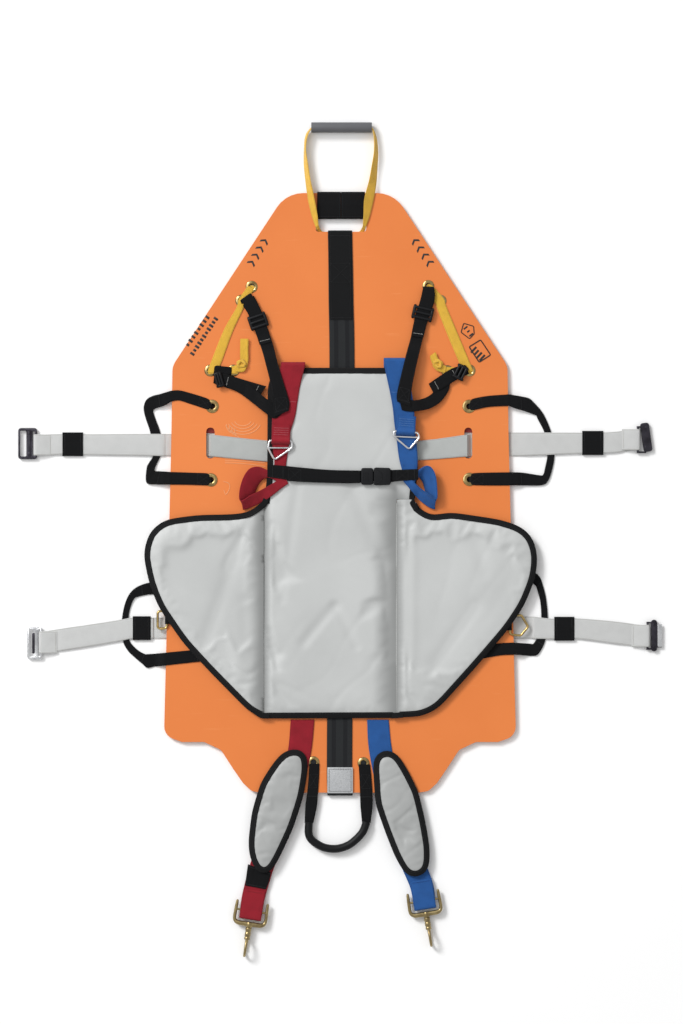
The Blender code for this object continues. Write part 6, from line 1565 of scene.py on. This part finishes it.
def settle(obj, pad, growth, pressure, cap, ceiling):
    """Lets the cover, cut a little larger than its pad, swell and wrinkle between its sewn edges."""
    mesh = obj.data
    rest = np.array([tuple(v.co) for v in mesh.vertices])
    total = len(pad.plan)
    distance = pad.edge_distance(pad.plan)
    for x, y0, y1, *_ in pad.lines:
        distance = np.minimum(distance, off_line(pad.plan, x, y0, y1) + 5)
    distance[:pad.count] = 0
    held = obj.vertex_groups.new(name="held")
    held.add([i for i in range(total) if distance[i] < HELD_RIM] + list(range(total, 2 * total)), 1.0,
             "REPLACE")
    cloth = obj.modifiers.new("cloth", "CLOTH")
    settings = cloth.settings
    settings.quality = 6
    settings.mass = 0.25
    settings.tension_stiffness = settings.compression_stiffness = 18
    settings.shear_stiffness = 9
    settings.bending_stiffness = 14.0
    settings.vertex_group_mass = "held"
    settings.use_pressure = True
    settings.uniform_pressure_force = pressure
    settings.shrink_min = -growth
    settings.effector_weights.gravity = 0
    cloth.point_cache.frame_end = SETTLING
    for number in range(1, SETTLING + 1):
        bpy.context.scene.frame_set(number)
    settled = obj.evaluated_get(bpy.context.evaluated_depsgraph_get()).data
    moved = np.array([tuple(v.co) for v in settled.vertices]) - rest
    obj.modifiers.remove(cloth)
    obj.vertex_groups.remove(held)
    bpy.context.scene.frame_set(1)
    length = np.maximum(np.linalg.norm(moved, axis=1, keepdims=True), 1e-9)
    moved *= cap * MM * np.tanh(length / (cap * MM)) / length
    calm = (0.3 + 0.7 * np.clip(pad.edge_distance(pad.plan) / CALM_RIM, 0, 1)) * (1 - pad.folding(pad.plan))
    moved[:total] *= calm[:, None]
    placed = rest + moved
    floor = np.concatenate([pad.bottom(distance) + 3.0, np.zeros(total)]) * MM
    placed[:, 2] = np.clip(placed[:, 2], np.minimum(floor, rest[:, 2]), ceiling * MM)
    mesh.vertices.foreach_set("co", placed.astype(np.float32).ravel())
    mesh.update()


def finish_pad(obj, pad, fill, body, start=None, end=None, **swelling):
    """Settles a cover, then puts it on its body, or, given start, bakes its place into its points."""
    settle(obj, pad, **swelling)
    if start:
        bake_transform(obj)
    else:
        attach(obj, body)


# The folds' widths differ from side to side: the painted shade spreads wider on the side turned from the
# light
back = Pad(PAD, 10, PAD_BOTTOM, PAD_TOP - 1.6, 0.42, reach=34,
           lines=[(-144.2, -330, 76, 17, 0.9), (107.2, -330, 76, 46, 0.95)], keep=beside_fold)
vinyl = piece("back_pad_cushion", None, "pad_vinyl", "vinyl",
              [back.shape(dented(creased(1.0, 0.012, 1.2, 0.5), BACK_VALLEYS))], ["back_pad"], crease=75)
finish_pad(vinyl, back, 0.6, "board", growth=0.028, pressure=3.0, cap=3.0, ceiling=PAD_TOP + 0.4)
piece("back_pad_binding", "board", "black_webbing", "binding", back.binding())
black_stitches("back_pad_rim_stitches", "board", back.rim_stitches())
seams = []
for x, y0, y1 in ((-144.5, -326, 62), (107.5, -326, 70)):
    level = float(back.top(np.array([[x, 0.0]]), np.array([0.0]))[0]) - 0.2
    seams += [thread((x, y, level), (x, y + 2.4, level), (0, 0, 1), 0.9, 0.5) for y in np.arange(y0, y1, 3.6)]
piece("back_pad_fold_stitches", "board", "pad_vinyl", "thread_grey", seams)
tapes = []
for x, y0, y1 in ((-144.5, -332, 62), (107.5, -332, 70)):
    level = float(back.top(np.array([[x, 0.0]]), np.array([0.0]))[0]) - 1.2
    tapes.append(Ribbon([(x - 1.4, y0, x + 1.4, y0, level), (x - 1.4, y1, x + 1.4, y1, level)], steps=1,
                        thick=1.4))
piece("back_pad_fold_tapes", "board", "pad_vinyl", "vinyl_dull", tapes)

# A wing's fold width is wider on the side turned from the light, where its painted shade spreads further
for side, outer, corners, fold_x, width, seed, lean, valleys in (
        ("left", -1, LEFT_WING, -144.8, 34, 4.0, -0.6, LEFT_VALLEYS),
        ("right", 1, RIGHT_WING, 107.8, 17, 9.0, 0.5, RIGHT_VALLEYS)):
    wrinkles = dented(creased(seed, 0.012, 1.0, lean), valleys)
    held = lambda x, y, fold_x=fold_x: abs(x - fold_x) > 0.2 and not (y > 72.6 and 100 < x < 142)
    wing = Pad(corners, 16, WING_BOTTOM, PAD_TOP + 1.4, 0.24, reach=38,
               lines=[(fold_x, -330, 66, width, 0.98)], keep=held)
    start, end = ((x * MM, FOLD_MIDDLE * MM, PAD_TOP * MM) for x in (fold_x, fold_x + outer * BENDING))
    vinyl = piece(f"{side}_wing_cushion", None, "pad_vinyl", "vinyl", [wing.shape(wrinkles)],
                  [f"{side}_wing"], crease=75)
    finish_pad(vinyl, wing, 0.55, f"{side}_wing", start, end, growth=0.028, pressure=3.0, cap=3.0,
               ceiling=PAD_TOP + 3.0)
    for obj in (piece(f"{side}_wing_binding", None, "black_webbing", "binding", wing.binding()),
                black_stitches(f"{side}_wing_rim_stitches", None, wing.rim_stitches())):
        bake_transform(obj)

# The binding carries on across the folds
joins = [Ribbon(rows, thick=2.4) for rows in (
    [(-143.6, 92, -133.4, 91, 18.6), (-145.2, 80, -134.2, 77, 18.8), (-148.4, 71.4, -138.6, 65.6, 19),
     (-156.6, 63.4, -149, 56, 19)],
    [(142.4, 90, 132, 90, 18.6), (141.2, 78, 131, 76, 18.8), (143, 71, 133.4, 65.6, 19),
     (149, 60, 140.4, 54, 19)],
    [(-158.4, -320.4, -163.6, -329.6, 18.4), (-150, -326.4, -153, -336.8, 18.4),
     (-143, -328, -144, -339, 18), (-134, -328, -134, -338.8, 17.6)],
    [(98, -327.8, 98, -338.8, 17.6), (108, -327.6, 108, -338.2, 18.2), (120, -326.6, 120, -337.2, 18.6)])]
piece("binding_joins", "board", "black_webbing", "binding", joins)

for side, corners, seed in (("left", LEFT_LEAF, 14.0), ("right", RIGHT_LEAF, 18.0)):
    leaf = Pad(corners, 12, LEAF_BOTTOM, LEAF_BOTTOM + 8, 0.4, reach=26, gap=4.0)
    vinyl = piece(f"{side}_leg_pad_cushion", None, "pad_vinyl", "vinyl_dull",
                  [leaf.shape(creased(seed, 0.03, 1.0, 0.9))], [f"{side}_leg_pad"], crease=75)
    finish_pad(vinyl, leaf, 0.6, f"{side}_leg", growth=0.05, pressure=4.0, cap=3.0, ceiling=LEAF_BOTTOM + 11)
    piece(f"{side}_leg_pad_binding", f"{side}_leg", "black_webbing", "binding", leaf.binding())
    black_stitches(f"{side}_leg_pad_stitches", f"{side}_leg", leaf.rim_stitches())

# A black sleeve where the left leg strap leaves its pad
sleeve = Ribbon([(-131.1, -631.4, -174.8, -616.2, TAIL_Z + 1.6),
                 (-134.9, -648.5, -177.8, -637.1, TAIL_Z + 0.8),
                 (-140.6, -663.7, -180.5, -656.1, TAIL_Z + 0.4)], thick=4.6)
black("left_leg_sleeve", "left_leg", [sleeve])
black_stitches("left_leg_sleeve_stitches", "left_leg",
               bartack(sleeve, 3, across=0.92) + bartack(sleeve, sleeve.length - 3, across=0.92))

# Floor, light and camera ----------------------------------------------------------------------------
floor_mesh = bpy.data.meshes.new("floor")
FLOOR_REACH, FLOOR_DEPTH = 6, -0.0006
floor_corners = [(x, y, FLOOR_DEPTH) for x, y in rectangle(-FLOOR_REACH, FLOOR_REACH, -FLOOR_REACH,
                                                           FLOOR_REACH)]
floor_mesh.from_pydata(floor_corners, [], [(0, 1, 2, 3)])
floor = bpy.data.objects.new("floor", floor_mesh)
bpy.context.scene.collection.objects.link(floor)
paper = Look("floor_paper", 0.9, specular=0.1)
paper.colour(paper.mix(paper.clouds(2.0), (0.93, 0.93, 0.93), (0.95, 0.95, 0.95)))
floor_mesh.materials.append(paper.material)

bpy.context.scene.view_settings.view_transform = "Standard"
world = bpy.data.worlds.new("studio")
bpy.context.scene.world = world
world.use_nodes = True
background = world.node_tree.nodes["Background"]
background.inputs["Color"].default_value = (1.0, 1.0, 1.0, 1.0)
background.inputs["Strength"].default_value = SKY


def lamp(name, kind, place, power, **settings):
    light = bpy.data.lights.new(name, kind)
    light.energy = power
    for key, setting in settings.items():
        setattr(light, key, setting)
    obj = bpy.data.objects.new(name, light)
    obj.location = place
    obj.rotation_euler = (-Vector(place)).to_track_quat("-Z", "Y").to_euler()
    bpy.context.scene.collection.objects.link(obj)
    return obj


lamp("key_light", "SUN", (-1.9, 1.9, 2.0), KEY, angle=radians(16))
lamp("fill_panel", "AREA", (-1.6, 1.0, 2.4), FILL, shape="RECTANGLE", size=1.6, size_y=2.4)

CAMERA_HEIGHT = 8.0
VIEW_LENGTH = 1.9456  # metres of the floor seen along the picture's longer side
SENSOR = 36
camera = bpy.data.objects.new("camera", bpy.data.cameras.new("camera"))
camera.data.lens = CAMERA_HEIGHT / VIEW_LENGTH * SENSOR
camera.data.sensor_width = SENSOR
camera.data.clip_end = 50
camera.location = (0.00285, 0.0526, CAMERA_HEIGHT)
bpy.context.scene.collection.objects.link(camera)
bpy.context.scene.camera = camera
